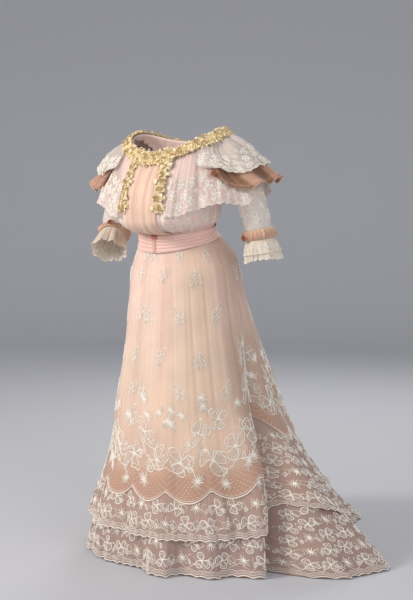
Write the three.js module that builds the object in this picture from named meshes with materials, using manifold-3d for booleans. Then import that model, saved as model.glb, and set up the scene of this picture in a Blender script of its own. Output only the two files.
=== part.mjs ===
// Evening dress of about 1905, in the shape it takes when worn: a pouched lace bodice under an
// off-the-shoulder collar of lace and chiffon tiers, elbow sleeves with ruffled cuffs, a pleated
// girdle, and a trained skirt of silk under net with two lace flounces round the hem.
// Millimetres, +Z up, the wearer faces -Y and her left side is +X. The origin is midway between
// the shoulders, where the wearer carries the dress. Angles are seen from above, in degrees,
// from the centre front (0) round by her left side (90), the centre back (180) and her right (270).
import * as THREE from "three";
import Module from "manifold-3d";

// Driving dimensions.
const SHOULDER_HEIGHT = 1310; // floor to the origin
const WAIST_HEIGHT = 1001; // floor to the girdle's middle, at the sides
const WAIST_DIP = 29; // the waistline drops this much in front and rises as much behind
const SILK = 2.4; // wall of the skirt's layers, measured outwards from the body
const CLOTH = 1.6; // wall of the lace and chiffon pieces
const SEAM = 0.3; // clearance between two pieces

const SKIRT_COLUMNS = 72; // steps round the skirt
const HEM_SHARE = 0.72; // how far the steps are spaced by hem length rather than by angle
const SIDE_SEAMS = { right: -98, left: 79 }; // directions of the skirt's side seams

const rad = THREE.MathUtils.degToRad;
const point = (x, y, z) => new THREE.Vector3(x, y, z);

// The skirt's plan: distance from the axis at a share of the waist height, in eight directions.
const SKIRT_SECTIONS = [
  { height: 1.0, front: 106, frontLeft: 110, left: 118,
    backLeft: 108, back: 98, backRight: 108, right: 116, frontRight: 112 },
  { height: 0.95, front: 118, frontLeft: 128, left: 150,
    backLeft: 160, back: 148, backRight: 142, right: 140, frontRight: 128 },
  { height: 0.9, front: 130, frontLeft: 144, left: 176,
    backLeft: 190, back: 184, backRight: 166, right: 156, frontRight: 144 },
  { height: 0.82, front: 140, frontLeft: 158, left: 190,
    backLeft: 206, back: 212, backRight: 182, right: 166, frontRight: 149 },
  { height: 0.66, front: 158, frontLeft: 184, left: 220,
    backLeft: 256, back: 282, backRight: 216, right: 184, frontRight: 163 },
  { height: 0.5, front: 180, frontLeft: 214, left: 258,
    backLeft: 316, back: 370, backRight: 262, right: 206, frontRight: 189 },
  { height: 0.35, front: 202, frontLeft: 250, left: 300,
    backLeft: 360, back: 470, backRight: 324, right: 228, frontRight: 208 },
  { height: 0.2, front: 224, frontLeft: 288, left: 336,
    backLeft: 408, back: 592, backRight: 412, right: 262, frontRight: 238 },
  { height: 0.1, front: 238, frontLeft: 310, left: 352,
    backLeft: 460, back: 704, backRight: 484, right: 286, frontRight: 254 },
  { height: 0.0, front: 246, frontLeft: 326, left: 364,
    backLeft: 512, back: 838, backRight: 566, right: 304, frontRight: 260 },
];

// The skirt's large folds: the direction each runs in, its half width, and how far it stands out
// (or sinks in, when negative) at the hem. Each fades out at the share of the height called top.
// A fold turns further round behind her as it rises, by the angle called lean.
const SKIRT_FOLDS = [
  { at: 101, wide: 23, deep: 262, top: 0.48, lean: 16 },
  { at: 79.5, wide: 5, deep: -112, top: 0.94, lean: 42 },
  { at: 70, wide: 5, deep: 18, top: 0.7, lean: 30 },
  { at: 56, wide: 6, deep: 10, top: 0.5, lean: 0 },
  { at: 40, wide: 6, deep: -12, top: 0.62, lean: 0 },
  { at: 27, wide: 7, deep: 10, top: 0.8, lean: 0 },
  { at: 11, wide: 7, deep: -6, top: 0.6, lean: 0 },
  { at: -8, wide: 8, deep: -12, top: 0.5, lean: 0 },
  { at: -27, wide: 7, deep: 9, top: 0.6, lean: 0 },
  { at: -46, wide: 6, deep: -14, top: 0.4, lean: 0 },
  { at: -62, wide: 8, deep: 16, top: 0.4, lean: 0 },
  { at: -84, wide: 8, deep: -16, top: 0.6, lean: 0 },
  { at: 133, wide: 7, deep: 18, top: 0.7, lean: 0 },
  { at: 148, wide: 6, deep: -26, top: 0.9, lean: 8 },
  { at: 163, wide: 6, deep: 22, top: 0.8, lean: 6 },
  { at: 180, wide: 6, deep: -32, top: 0.95, lean: 0 },
  { at: 198, wide: 6, deep: 26, top: 0.8, lean: -6 },
  { at: 214, wide: 6, deep: -26, top: 0.9, lean: -8 },
  { at: 232, wide: 7, deep: 20, top: 0.7, lean: 0 },
  { at: 250, wide: 7, deep: -14, top: 0.6, lean: 0 },
];

// The lace tiers round the hem: height of the net's scalloped edge and of the upper flounce's hem.
const TIER_HEIGHTS = [
  { at: 0, scallop: 214, upperHem: 98 },
  { at: 45, scallop: 218, upperHem: 100 },
  { at: 72, scallop: 236, upperHem: 110 },
  { at: 82, scallop: 258, upperHem: 124 },
  { at: 90, scallop: 300, upperHem: 190 },
  { at: 98, scallop: 424, upperHem: 178 },
  { at: 108, scallop: 392, upperHem: 148 },
  { at: 130, scallop: 366, upperHem: 134 },
  { at: 180, scallop: 338, upperHem: 128 },
  { at: 225, scallop: 326, upperHem: 130 },
  { at: 265, scallop: 280, upperHem: 122 },
  { at: 305, scallop: 236, upperHem: 108 },
  { at: 335, scallop: 216, upperHem: 100 },
  { at: 360, scallop: 214, upperHem: 98 },
];
const SCALLOPS = { count: 17, swing: 34 };
const HEADING = { upper: 60, lower: 34 }; // how far each flounce runs up under the tier above it
const FLUTES = { count: 18, upper: 13, lower: 24, silk: 7 };

// The bodice, in rings from the waist to the neckline. The height of each ring differs in front,
// at the sides and behind.
const BODICE_SECTIONS = [
  { up: 0.0, front: 116, side: 121, back: 102, square: 0,
    frontHeight: 973, sideHeight: 1002, backHeight: 1031 },
  { up: 0.08, front: 118, side: 123, back: 103, square: 0.01,
    frontHeight: 1002, sideHeight: 1027, backHeight: 1052 },
  { up: 0.2, front: 160, side: 139, back: 103, square: 0.07,
    frontHeight: 1012, sideHeight: 1038, backHeight: 1064 },
  { up: 0.32, front: 185, side: 149, back: 101, square: 0.12,
    frontHeight: 1040, sideHeight: 1062, backHeight: 1084 },
  { up: 0.45, front: 188, side: 154, back: 104, square: 0.12,
    frontHeight: 1082, sideHeight: 1100, backHeight: 1116 },
  { up: 0.62, front: 176, side: 162, back: 110, square: 0.07,
    frontHeight: 1140, sideHeight: 1158, backHeight: 1162 },
  { up: 0.8, front: 150, side: 178, back: 112, square: 0.03,
    frontHeight: 1192, sideHeight: 1230, backHeight: 1216 },
  { up: 0.92, front: 126, side: 178, back: 103, square: 0,
    frontHeight: 1226, sideHeight: 1288, backHeight: 1262 },
  { up: 1.0, front: 108, side: 154, back: 86, square: 0,
    frontHeight: 1250, sideHeight: 1318, backHeight: 1294 },
];
const BODICE_COLUMNS = 36;

// The sleeves, along the arm from the armhole to the elbow. Her right elbow is bent.
const SLEEVE_LEFT = [
  { x: 150, y: 8, z: 1254, radius: 55 },
  { x: 203, y: 12, z: 1212, radius: 54 },
  { x: 238, y: 18, z: 1158, radius: 49 },
  { x: 259, y: 26, z: 1106, radius: 44 },
  { x: 271, y: 34, z: 1056, radius: 43 },
  { x: 280, y: 40, z: 1004, radius: 43 },
  { x: 283, y: 42, z: 982, radius: 42 },
];
const SLEEVE_RIGHT = [
  { x: -150, y: 8, z: 1254, radius: 55 },
  { x: -203, y: 12, z: 1212, radius: 54 },
  { x: -236, y: 16, z: 1152, radius: 49 },
  { x: -256, y: 20, z: 1096, radius: 45 },
  { x: -264, y: 16, z: 1046, radius: 44 },
  { x: -261, y: 2, z: 1008, radius: 43 },
  { x: -256, y: -12, z: 990, radius: 42 },
];
const SLEEVE = { columns: 16, rows: 7, start: 0.14 };
const BAND = { from: 0.78, to: 0.95, puff: 7 };
const CUFF = { columns: 32, waves: 8, length: 58, flare: 9, ripple: 3.2 };

// The collar. A wide lace bertha falls from the neckline to these points, given from the centre
// front round to the centre back and alike on both sides. A chiffon ruffle and a lace cap lie
// over it on each shoulder, and stand off it at their hems.
const BERTHA_HEM = [
  { at: 30, x: 82, y: -188, z: 1054 },
  { at: 45, x: 132, y: -164, z: 1060 },
  { at: 60, x: 192, y: -122, z: 1084 },
  { at: 72, x: 246, y: -82, z: 1096 },
  { at: 84, x: 288, y: -36, z: 1092 },
  { at: 97, x: 304, y: 26, z: 1164 },
  { at: 115, x: 282, y: 92, z: 1130 },
  { at: 145, x: 150, y: 140, z: 1102 },
  { at: 180, x: 0, y: 136, z: 1094 },
];
const RUFFLE_HEM = [
  { at: 66, x: 230, y: -86, z: 1166 },
  { at: 74, x: 270, y: -68, z: 1142 },
  { at: 84, x: 316, y: -34, z: 1145 },
  { at: 94, x: 348, y: 32, z: 1168 },
  { at: 112, x: 304, y: 106, z: 1166 },
  { at: 132, x: 214, y: 136, z: 1182 },
];
const CAP_HEM = [
  { at: 54, x: 190, y: -100, z: 1206 },
  { at: 64, x: 228, y: -80, z: 1190 },
  { at: 77, x: 280, y: -48, z: 1188 },
  { at: 90, x: 316, y: 8, z: 1210 },
  { at: 112, x: 268, y: 98, z: 1216 },
  { at: 138, x: 178, y: 130, z: 1232 },
];
const COLLAR = {
  columns: 60, // steps round the neckline
  band: 33, // depth of the gathered ribbon at the neckline
  shares: [0.3, 0.55, 0.8, 1], // rows below the band, as shares of what is left
  bend: { out: 0.72, down: 0.42 },
  bertha: { first: 5, last: 30 },
  ruffle: { first: 11, last: 22, rows: 4, lifts: [0, 0.6, 2, 5] },
  cap: { first: 9, last: 23, rows: 3, lifts: [0, 1, 5] },
  wave: { steps: 4, bertha: 9, ruffle: 11, cap: 8 },
};

const GIRDLE = { columns: 38, frontHalf: 27, backHalf: 18, tuck: 1.6, stand: 1.3 };
const RUCHE = { stand: 8, dip: 0.5 };
const TRIM = { x: 62, half: 10.5, from: 0.4, to: 0.87, steps: 18, stand: 7 };
const PANEL = { half: 49, columns: 14, pleat: 2.2 };
const ROSETTE = { petals: 7, rings: [1, 0.8, 0.45, 0.12], rise: [0.1, 0.75, 1, 0.8] };

const wasm = await Module();
wasm.setup();

// ---- Interpolation ----

// A smooth curve through the rows of a table, without overshoot: column over key.
function through(rows, key, column) {
  const xs = rows.map((row) => row[key]);
  const ys = rows.map((row) => row[column]);
  if (xs[0] > xs[xs.length - 1]) {
    xs.reverse();
    ys.reverse();
  }
  const rise = xs.slice(1).map((x, i) => (ys[i + 1] - ys[i]) / (x - xs[i]));
  const slope = ys.map((_, i) => {
    if (i === 0) return rise[0];
    if (i === ys.length - 1) return rise[i - 1];
    if (rise[i - 1] * rise[i] <= 0) return 0;
    return (2 * rise[i - 1] * rise[i]) / (rise[i - 1] + rise[i]);
  });
  return (x) => {
    let i = 0;
    while (i < xs.length - 2 && x > xs[i + 1]) i++;
    const width = xs[i + 1] - xs[i];
    const t = THREE.MathUtils.clamp((x - xs[i]) / width, 0, 1);
    return (
      ys[i] * (1 + 2 * t) * (1 - t) ** 2 +
      slope[i] * width * t * (1 - t) ** 2 +
      ys[i + 1] * t * t * (3 - 2 * t) -
      slope[i + 1] * width * t * t * (1 - t)
    );
  };
}

// Equally spaced values round a full turn, at an angle in degrees.
function roundTurn(values, angle) {
  const n = values.length;
  const at = ((((angle / 360) * n) % n) + n) % n;
  const i = Math.floor(at);
  const t = at - i;
  const [a, b, c, d] = [-1, 0, 1, 2].map((k) => values[(i + k + n) % n]);
  return b + 0.5 * t * (c - a + t * (2 * a - 5 * b + 4 * c - d + t * (3 * (b - c) + d - a)));
}

// The signed difference between two angles, from -180 to 180 degrees.
const turn = (a, b) => ((((a - b + 180) % 360) + 360) % 360) - 180;

// ---- Closed walls ----

// A closed wall from two grids of points, [column][row]. A ring joins its last column to its first.
function wallGeometry(outer, inner, ring) {
  const columns = outer.length;
  const rows = outer[0].length;
  const position = [...outer.flat(), ...inner.flat()].flatMap((p) => [p.x, p.y, p.z]);
  const index = [];
  const face = (a, b, c, d) => index.push(a, b, c, a, c, d);
  const out = (i, j) => (i % columns) * rows + j;
  const back = (i, j) => out(i, j) + columns * rows;
  for (let i = 0; i < (ring ? columns : columns - 1); i++) {
    for (let j = 0; j < rows - 1; j++) {
      face(out(i, j), out(i + 1, j), out(i + 1, j + 1), out(i, j + 1));
      face(back(i, j), back(i, j + 1), back(i + 1, j + 1), back(i + 1, j));
    }
    face(out(i, 0), back(i, 0), back(i + 1, 0), out(i + 1, 0));
    face(out(i, rows - 1), out(i + 1, rows - 1), back(i + 1, rows - 1), back(i, rows - 1));
  }
  if (!ring) {
    const last = columns - 1;
    for (let j = 0; j < rows - 1; j++) {
      face(out(0, j), out(0, j + 1), back(0, j + 1), back(0, j));
      face(out(last, j), back(last, j), back(last, j + 1), out(last, j + 1));
    }
  }
  return facingOut(position, index);
}

// The geometry with its faces turned outwards.
function facingOut(position, index) {
  let volume = 0;
  const at = (k) => new THREE.Vector3().fromArray(position, 3 * k);
  for (let k = 0; k < index.length; k += 3) {
    volume += at(index[k]).dot(at(index[k + 1]).cross(at(index[k + 2])));
  }
  if (volume < 0) index.reverse();
  return new THREE.BufferGeometry()
    .setAttribute("position", new THREE.Float32BufferAttribute(position, 3))
    .setIndex(index);
}

// Points of a grid moved along its surface normal; amount(column, row) is the distance.
function moved(grid, ring, amount) {
  const columns = grid.length;
  const rows = grid[0].length;
  const column = (i) => (ring ? (i + columns) % columns : THREE.MathUtils.clamp(i, 0, columns - 1));
  const row = (j) => THREE.MathUtils.clamp(j, 0, rows - 1);
  return grid.map((line, i) =>
    line.map((p, j) => {
      const along = grid[column(i + 1)][j].clone().sub(grid[column(i - 1)][j]);
      const down = grid[i][row(j + 1)].clone().sub(grid[i][row(j - 1)]);
      const normal = along.cross(down).normalize();
      return p.clone().addScaledVector(normal, amount(i, j));
    }),
  );
}

// ---- Skirt ----

const skirtCurves = Object.keys(SKIRT_SECTIONS[0])
  .filter((column) => column !== "height")
  .map((direction) => through(SKIRT_SECTIONS, "height", direction));
const waistHeight = (angle) => WAIST_HEIGHT - WAIST_DIP * Math.cos(rad(angle));

function skirtRadius(angle, height) {
  let radius = roundTurn(skirtCurves.map((curve) => curve(height)), angle);
  for (const fold of SKIRT_FOLDS) {
    const grown = Math.max(0, (fold.top - height) / fold.top) ** 1.25;
    const off = turn(angle, fold.at + fold.lean * height) / fold.wide;
    radius += fold.deep * grown * Math.exp(-(off ** 2));
  }
  return radius;
}

// The share of the way round the skirt, at each half degree from the right side seam. Steps lie
// closer together where the hem is wide.
const skirtWay = (() => {
  const way = [0];
  for (let k = 1; k <= 720; k++) {
    const angle = SIDE_SEAMS.right + (k - 0.5) / 2;
    way.push(way[k - 1] + (1 - HEM_SHARE) * 300 + HEM_SHARE * skirtRadius(angle, 0));
  }
  return way.map((length) => length / way[720]);
})();
function wayShare(angle) {
  const at = 2 * (angle - SIDE_SEAMS.right);
  const k = Math.min(719, Math.floor(at));
  return skirtWay[k] + (skirtWay[k + 1] - skirtWay[k]) * (at - k);
}
function wayAngle(share) {
  const k = Math.max(1, skirtWay.findIndex((value) => value >= share - 1e-12));
  const t = (share - skirtWay[k - 1]) / (skirtWay[k] - skirtWay[k - 1]);
  return SIDE_SEAMS.right + (k - 1 + t) / 2;
}

const tierCurves = {
  scallop: through(TIER_HEIGHTS, "at", "scallop"),
  upperHem: through(TIER_HEIGHTS, "at", "upperHem"),
};
const fullTurn = (angle) => ((angle % 360) + 360) % 360;

// The rows of the skirt at an angle, from the waist to the floor, in millimetres above the floor.
const ROW = { waist: 0, upperHead: 6, scallop: 7, lowerHead: 8, upperHem: 9, floor: 10 };
function skirtRows(angle, share) {
  const waist = waistHeight(angle) - 1;
  const scallop = tierCurves.scallop(fullTurn(angle));
  const lobe = 0.6 - Math.abs(Math.sin(Math.PI * SCALLOPS.count * share));
  const head = scallop + HEADING.upper;
  const upperHem = tierCurves.upperHem(fullTurn(angle));
  return [
    waist,
    0.955 * waist,
    0.92 * waist,
    0.87 * waist,
    0.77 * waist,
    (0.77 * waist + head) / 2,
    head,
    scallop + SCALLOPS.swing * lobe,
    upperHem + HEADING.lower,
    upperHem,
    0,
  ];
}

// Flutes of a flounce: how far it stands out at a share of the way round, from 0 to 1.
function flute(share, shift) {
  const uneven = 1.3 * Math.sin(2 * Math.PI * 3 * share);
  return 0.5 + 0.5 * Math.cos(2 * Math.PI * (FLUTES.count * share + shift) + uneven);
}

// Where the plan runs steeply in or out, a wall is this many times thicker along the radius.
function slant(angle, height) {
  const slope = (skirtRadius(angle + 1, height) - skirtRadius(angle - 1, height)) / rad(2);
  return Math.min(2.6, Math.hypot(1, slope / skirtRadius(angle, height)));
}

// How far each layer's outer face stands out from the silk's smooth face, at a row. The thickness
// of a wall and its clearance, along the radius, is called layer.
function skirtStand(name, share, row, layer) {
  const silk = row === ROW.floor ? FLUTES.silk * flute(share, 0.3) : 0;
  if (name === "silk") return silk;
  const lowerOpen = { [ROW.lowerHead]: 0, [ROW.upperHem]: 0.45, [ROW.floor]: 1 }[row];
  const lower = layer + (lowerOpen ?? 0) * FLUTES.lower * flute(share, 0) + silk;
  if (name === "lower") return lower;
  const under = lowerOpen === undefined ? 0 : lower;
  const upperOpen = { [ROW.scallop]: 0.25, [ROW.lowerHead]: 0.65, [ROW.upperHem]: 1 }[row] ?? 0;
  const upper = under + layer + upperOpen * FLUTES.upper * flute(share, 0.5);
  if (name === "upper") return upper;
  return (row < ROW.upperHead ? 0 : upper) + layer;
}

// A point of a layer's outer face, or of its inner face.
function skirtPoint(name, share, row, inner) {
  const angle = wayAngle(share);
  const z = skirtRows(angle, share)[row];
  const height = z / waistHeight(angle);
  const thick = slant(angle, height);
  const stand = skirtStand(name, share, row, (SEAM + SILK) * thick);
  const radius = skirtRadius(angle, height) + stand - (inner ? SILK * thick : 0);
  return point(radius * Math.sin(rad(angle)), -radius * Math.cos(rad(angle)), z);
}

// One layer of the skirt between two shares of the way round and two rows.
function skirtPiece(name, from, to, firstRow, lastRow) {
  const columns = Math.round(SKIRT_COLUMNS * (to - from));
  const grid = (inner) =>
    Array.from({ length: columns + 1 }, (_, i) =>
      Array.from({ length: lastRow - firstRow + 1 }, (_, k) =>
        skirtPoint(name, from + ((to - from) * i) / columns, firstRow + k, inner),
      ),
    );
  return wallGeometry(partedAtSeams(grid(false)), partedAtSeams(grid(true)), false);
}

// The end columns of a panel drawn back by half a seam's clearance.
function partedAtSeams(grid) {
  const last = grid.length - 1;
  for (const [end, next] of [[0, 1], [last, last - 1]]) {
    grid[end] = grid[end].map((p, j) =>
      p.clone().addScaledVector(grid[next][j].clone().sub(p).normalize(), SEAM * 0.6),
    );
  }
  return grid;
}

// ---- Bodice ----

const BODICE_NAMES = ["front", "side", "back", "square", "frontHeight", "sideHeight", "backHeight"];
const bodiceCurves = Object.fromEntries(
  BODICE_NAMES.map((name) => [name, through(BODICE_SECTIONS, "up", name)]),
);

// The bodice's surface at an angle and a share of its height.
function bodicePoint(angle, up) {
  const s = Math.sin(rad(angle));
  const c = Math.cos(rad(angle));
  const [front, side, back, square, low, level, high] = BODICE_NAMES.map((name) => bodiceCurves[name](up));
  const full = c > 0 ? 1 + square * Math.sin(2 * rad(angle)) ** 2 : 1;
  const z = level + ((low - high) / 2) * c + ((low + high) / 2 - level) * c * c;
  return point(side * full * s, -(c > 0 ? front : back) * full * c, z);
}

// The same, moved outwards.
function bodiceAt(angle, up, out) {
  const step = 0.01;
  const high = Math.min(1, up + step);
  const along = bodicePoint(angle + 1, up).sub(bodicePoint(angle - 1, up));
  const rise = bodicePoint(angle, high).sub(bodicePoint(angle, high - 2 * step));
  return bodicePoint(angle, up).addScaledVector(along.cross(rise).normalize(), out);
}

function bodicePiece(from, to) {
  const columns = Math.round((BODICE_COLUMNS * (to - from)) / 360);
  const ups = BODICE_SECTIONS.map((section) => section.up);
  const grid = (out) =>
    Array.from({ length: columns + 1 }, (_, i) => {
      const angle = from + ((to - from) * i) / columns;
      return ups.map((up) => bodiceAt(angle, up, out));
    });
  return wallGeometry(partedAtSeams(grid(0)), partedAtSeams(grid(-SILK)), false);
}

// ---- Tubes along the arm ----

class Arm {
  constructor(stations) {
    this.line = new THREE.CatmullRomCurve3(stations.map((s) => point(s.x, s.y, s.z)));
    const last = stations.length - 1;
    const rows = stations.map((s, i) => ({ share: i / last, radius: s.radius }));
    this.radii = through(rows, "share", "radius");
  }

  // A point round the arm, at a share of the way down, a distance out from its wall. The angle
  // starts at the arm's outer side.
  at(share, angle, out, slide = 0) {
    const centre = this.line.getPoint(Math.min(1, share));
    const along = this.line.getTangent(Math.min(1, share));
    const side = point(Math.sign(centre.x), 0, 0);
    side.addScaledVector(along, -side.dot(along)).normalize();
    const across = along.clone().cross(side);
    const reach = this.radii(Math.min(1, share)) + out;
    return centre
      .addScaledVector(side, reach * Math.cos(angle))
      .addScaledVector(across, reach * Math.sin(angle))
      .addScaledVector(along, slide);
  }

  // A ring-shaped wall: rows are { share, out, slide } and wave(angle, k) adds to out.
  wall(rows, columns, thick, wave = () => 0) {
    const grid = (inset) =>
      Array.from({ length: columns }, (_, i) => {
        const angle = (2 * Math.PI * i) / columns;
        return rows.map((row, k) => {
          return this.at(row.share, angle, row.out + wave(angle, k) - inset, row.slide ?? 0);
        });
      });
    return wallGeometry(grid(0), grid(thick), true);
  }
}

const arms = { left: new Arm(SLEEVE_LEFT), right: new Arm(SLEEVE_RIGHT) };

// A sleeve starts just inside the armhole.
function sleevePiece(arm) {
  const rows = Array.from({ length: SLEEVE.rows }, (_, k) => ({
    share: SLEEVE.start + ((1 - SLEEVE.start) * k) / (SLEEVE.rows - 1),
    out: 0,
  }));
  return arm.wall(rows, SLEEVE.columns, CLOTH);
}

// The chiffon band is a soft puff round the sleeve, above the cuff.
function bandPiece(arm) {
  const low = 2 * SEAM + CLOTH;
  const rows = [0, 0.3, 0.7, 1].map((step, k) => ({
    share: BAND.from + (BAND.to - BAND.from) * step,
    out: low + (k % 3 ? BAND.puff : 0),
  }));
  return arm.wall(rows, SLEEVE.columns, CLOTH);
}

// The lace cuff flares from the sleeve's end in a ruffle.
function cuffPiece(arm) {
  const low = 2 * SEAM + CLOTH;
  const wave = (angle, k) => (k * CUFF.ripple * (1 + Math.cos(CUFF.waves * angle))) / 2;
  const rows = [
    { share: BAND.to + 0.012, out: low },
    { share: 1, out: low + CUFF.flare * 0.4, slide: CUFF.length * 0.12 },
    { share: 1, out: low + CUFF.flare * 0.75, slide: CUFF.length * 0.55 },
    { share: 1, out: low + CUFF.flare, slide: CUFF.length },
  ];
  return arm.wall(rows, CUFF.columns, CLOTH, wave);
}

// ---- Collar ----

// The point of a hem table at an angle on her left side, mirrored on her right.
const hemCurves = new Map(
  [BERTHA_HEM, RUFFLE_HEM, CAP_HEM].map((table) => [
    table,
    ["x", "y", "z"].map((axis) => through(table, "at", axis)),
  ]),
);
function hemPoint(table, angle) {
  const [x, y, z] = hemCurves.get(table).map((curve) => curve(Math.abs(turn(angle, 0))));
  return point(turn(angle, 0) < 0 ? -x : x, y, z);
}

// Moves a point outwards until it clears the bodice and the sleeve on its side.
function clearOfBody(p, clearance) {
  let up = 0.6;
  let angle = 0;
  for (let k = 0; k < 14; k++) {
    const depth = bodiceCurves[p.y < 0 ? "front" : "back"](up);
    angle = THREE.MathUtils.radToDeg(Math.atan2(p.x / bodiceCurves.side(up), -p.y / depth));
    up = THREE.MathUtils.clamp(up + (p.z - bodicePoint(angle, up).z) / 420, 0, 1);
  }
  const skin = bodicePoint(angle, up);
  const reach = Math.hypot(p.x, p.y);
  const short = Math.hypot(skin.x, skin.y) + clearance - reach;
  if (short > 0 && up < 0.95) p.multiply(point(1 + short / reach, 1 + short / reach, 1));
  const arm = p.x > 0 ? arms.left : arms.right;
  for (let share = SLEEVE.start; share <= 1; share += 0.02) {
    const off = p.clone().sub(arm.line.getPoint(share));
    const along = arm.line.getTangent(share);
    if (Math.abs(off.dot(along)) > 10) continue;
    off.addScaledVector(along, -off.dot(along));
    const lacking = arm.radii(share) + 2 * clearance - off.length();
    if (lacking > 0) p.addScaledVector(off.normalize(), lacking);
  }
  return p;
}

// The rows of the collar's lowest surface at an angle: the neckline, the ribbon's lower edge, and
// on down to the bertha's hem. Between the bertha's front edges it follows the bodice.
function collarLine(angle) {
  const top = bodiceAt(angle, 0.992, 0.5);
  if (Math.abs(turn(angle, 0)) < (COLLAR.bertha.first - 0.5) * (360 / COLLAR.columns)) {
    const shares = [0, ...COLLAR.shares];
    return [top, ...shares.map((share) => bodiceAt(angle, 0.88 - 0.1 * share, 0.5))];
  }
  const hem = hemPoint(BERTHA_HEM, angle);
  const { out, down } = COLLAR.bend;
  const bend = point(
    top.x + (hem.x - top.x) * out,
    top.y + (hem.y - top.y) * out,
    top.z + (hem.z - top.z) * down,
  );
  const curve = new THREE.QuadraticBezierCurve3(top, bend, hem);
  const length = curve.getLength();
  const band = COLLAR.band / length;
  const shares = [band, ...COLLAR.shares.map((share) => band + (1 - band) * share)];
  return [top, ...shares.map((share, k) => clearOfBody(curve.getPointAt(share), 1 + 3 * Math.min(1, k)))];
}

const collarGrid = Array.from({ length: COLLAR.columns }, (_, i) => collarLine((360 * i) / COLLAR.columns));

// Waves that open towards a tier's hem, at a column and a share of the tier's depth.
function wave(deep, i, share, shift) {
  const phase = (2 * Math.PI * (i + shift)) / COLLAR.wave.steps + 0.9 * Math.sin(0.6 * i);
  return deep * share ** 1.3 * (0.5 + 0.5 * Math.cos(phase));
}

// How far the top of each collar piece lies above the collar's lowest surface.
const berthaOut = (i, k) => wave(COLLAR.wave.bertha, i, k / 5, 0) + CLOTH;
const ruffleOut = (i, k) => berthaOut(i, k) + SEAM + COLLAR.ruffle.lifts[k] + CLOTH;
const capOut = (i, k) => ruffleOut(i, k) + SEAM + COLLAR.cap.lifts[k] + CLOTH;
const within = (tier, i) => {
  const step = Math.min(i, COLLAR.columns - i);
  return step >= tier.first && step <= tier.last;
};

// The collar's surface moved out, over a run of columns and the first rows.
function collarRun(first, last, rows, amount) {
  const n = COLLAR.columns;
  const grid = moved(collarGrid, true, (i, k) => (k < rows ? -amount(i, k) : 0));
  return Array.from({ length: last - first + 1 }, (_, i) => grid[(first + i) % n].slice(0, rows));
}

function berthaPiece(first, last) {
  const rows = COLLAR.shares.length + 2;
  return wallGeometry(
    partedAtSeams(collarRun(first, last, rows, berthaOut)),
    partedAtSeams(collarRun(first, last, rows, (i, k) => berthaOut(i, k) - CLOTH)),
    false,
  );
}

// A shoulder tier: rows that lie on the tier below it, then a hem that stands off.
function shoulderPiece(tier, table, side, out, deep) {
  const n = COLLAR.columns;
  const [first, last] = side > 0 ? [tier.first, tier.last] : [n - tier.last, n - tier.first];
  const face = (inset) => {
    const grid = collarRun(first, last, tier.rows, (i, k) => out(i, k) - inset);
    return grid.map((line, j) => {
      const i = first + j;
      const hem = hemPoint(table, (360 * i) / n);
      const outward = point(hem.x - 150 * side, hem.y * 0.6, 0).normalize().add(point(0, 0, 0.3)).normalize();
      return [...line, hem.addScaledVector(outward, wave(deep, i, 1, 2) - inset)];
    });
  };
  return wallGeometry(face(0), face(CLOTH), false);
}

// The gathered ribbon round the neckline lies on whatever is below it.
function ruchePiece() {
  const below = (i, k) => {
    if (within(COLLAR.cap, i)) return capOut(i, k);
    if (within(COLLAR.bertha, i)) return berthaOut(i, k);
    return PANEL.pleat + CLOTH + SEAM;
  };
  const widest = (i, k) => {
    const n = COLLAR.columns;
    return Math.max(below(i, k), below((i + 1) % n, k), below((i + n - 1) % n, k)) + 4 * SEAM;
  };
  const rise = [0, 1, 1, 0];
  const faces = [0, 1].map((outer) => {
    const grid = collarRun(0, COLLAR.columns - 1, 2, (i, k) => widest(i, k));
    const stand = (i, k) => widest(i, k) + RUCHE.stand * (i % 2 ? 1 : RUCHE.dip);
    const high = collarRun(0, COLLAR.columns - 1, 2, stand);
    return grid.map(([top, low], i) =>
      [0, 0.28, 0.72, 1].map((share, k) => {
        const flat = top.clone().lerp(low, share);
        const full = high[i][0].clone().lerp(high[i][1], share);
        return flat.lerp(full, outer ? 0.25 + 0.75 * rise[k] : 0);
      }),
    );
  });
  return wallGeometry(faces[1], faces[0], true);
}

// ---- Pieces laid on the bodice ----

// The angle at which the bodice lies a distance to one side of the centre front.
const angleAt = (x, up) => THREE.MathUtils.radToDeg(Math.asin(x / bodiceCurves.side(up)));

// The gathered chiffon panel at the centre front.
function panelPiece() {
  const ups = BODICE_SECTIONS.slice(1).map((section) => section.up);
  const face = (thick) =>
    Array.from({ length: PANEL.columns + 1 }, (_, i) => {
      const x = -PANEL.half + (2 * PANEL.half * i) / PANEL.columns;
      return ups.map((up) => bodiceAt(angleAt(x, up), up, 2 * SEAM + (i % 2 ? PANEL.pleat : 0) + thick));
    });
  return wallGeometry(face(CLOTH), face(0), false);
}

// A column of gathered ribbon down one side of the panel.
function trimPiece(side) {
  const profile = [-1, -0.4, 0.4, 1];
  const face = (outer) =>
    profile.map((across) =>
      Array.from({ length: TRIM.steps + 1 }, (_, i) => {
        const up = TRIM.from + ((TRIM.to - TRIM.from) * i) / TRIM.steps;
        const puff = (Math.abs(across) < 1 ? 1 : 0.3) * (i % 2 ? 1 : 0.5);
        const angle = angleAt((TRIM.x + TRIM.half * across) * side, up);
        return bodiceAt(angle, up, 3 * SEAM + (outer ? CLOTH + TRIM.stand * puff : 0));
      }),
    );
  return wallGeometry(face(true), face(false), false);
}

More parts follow.
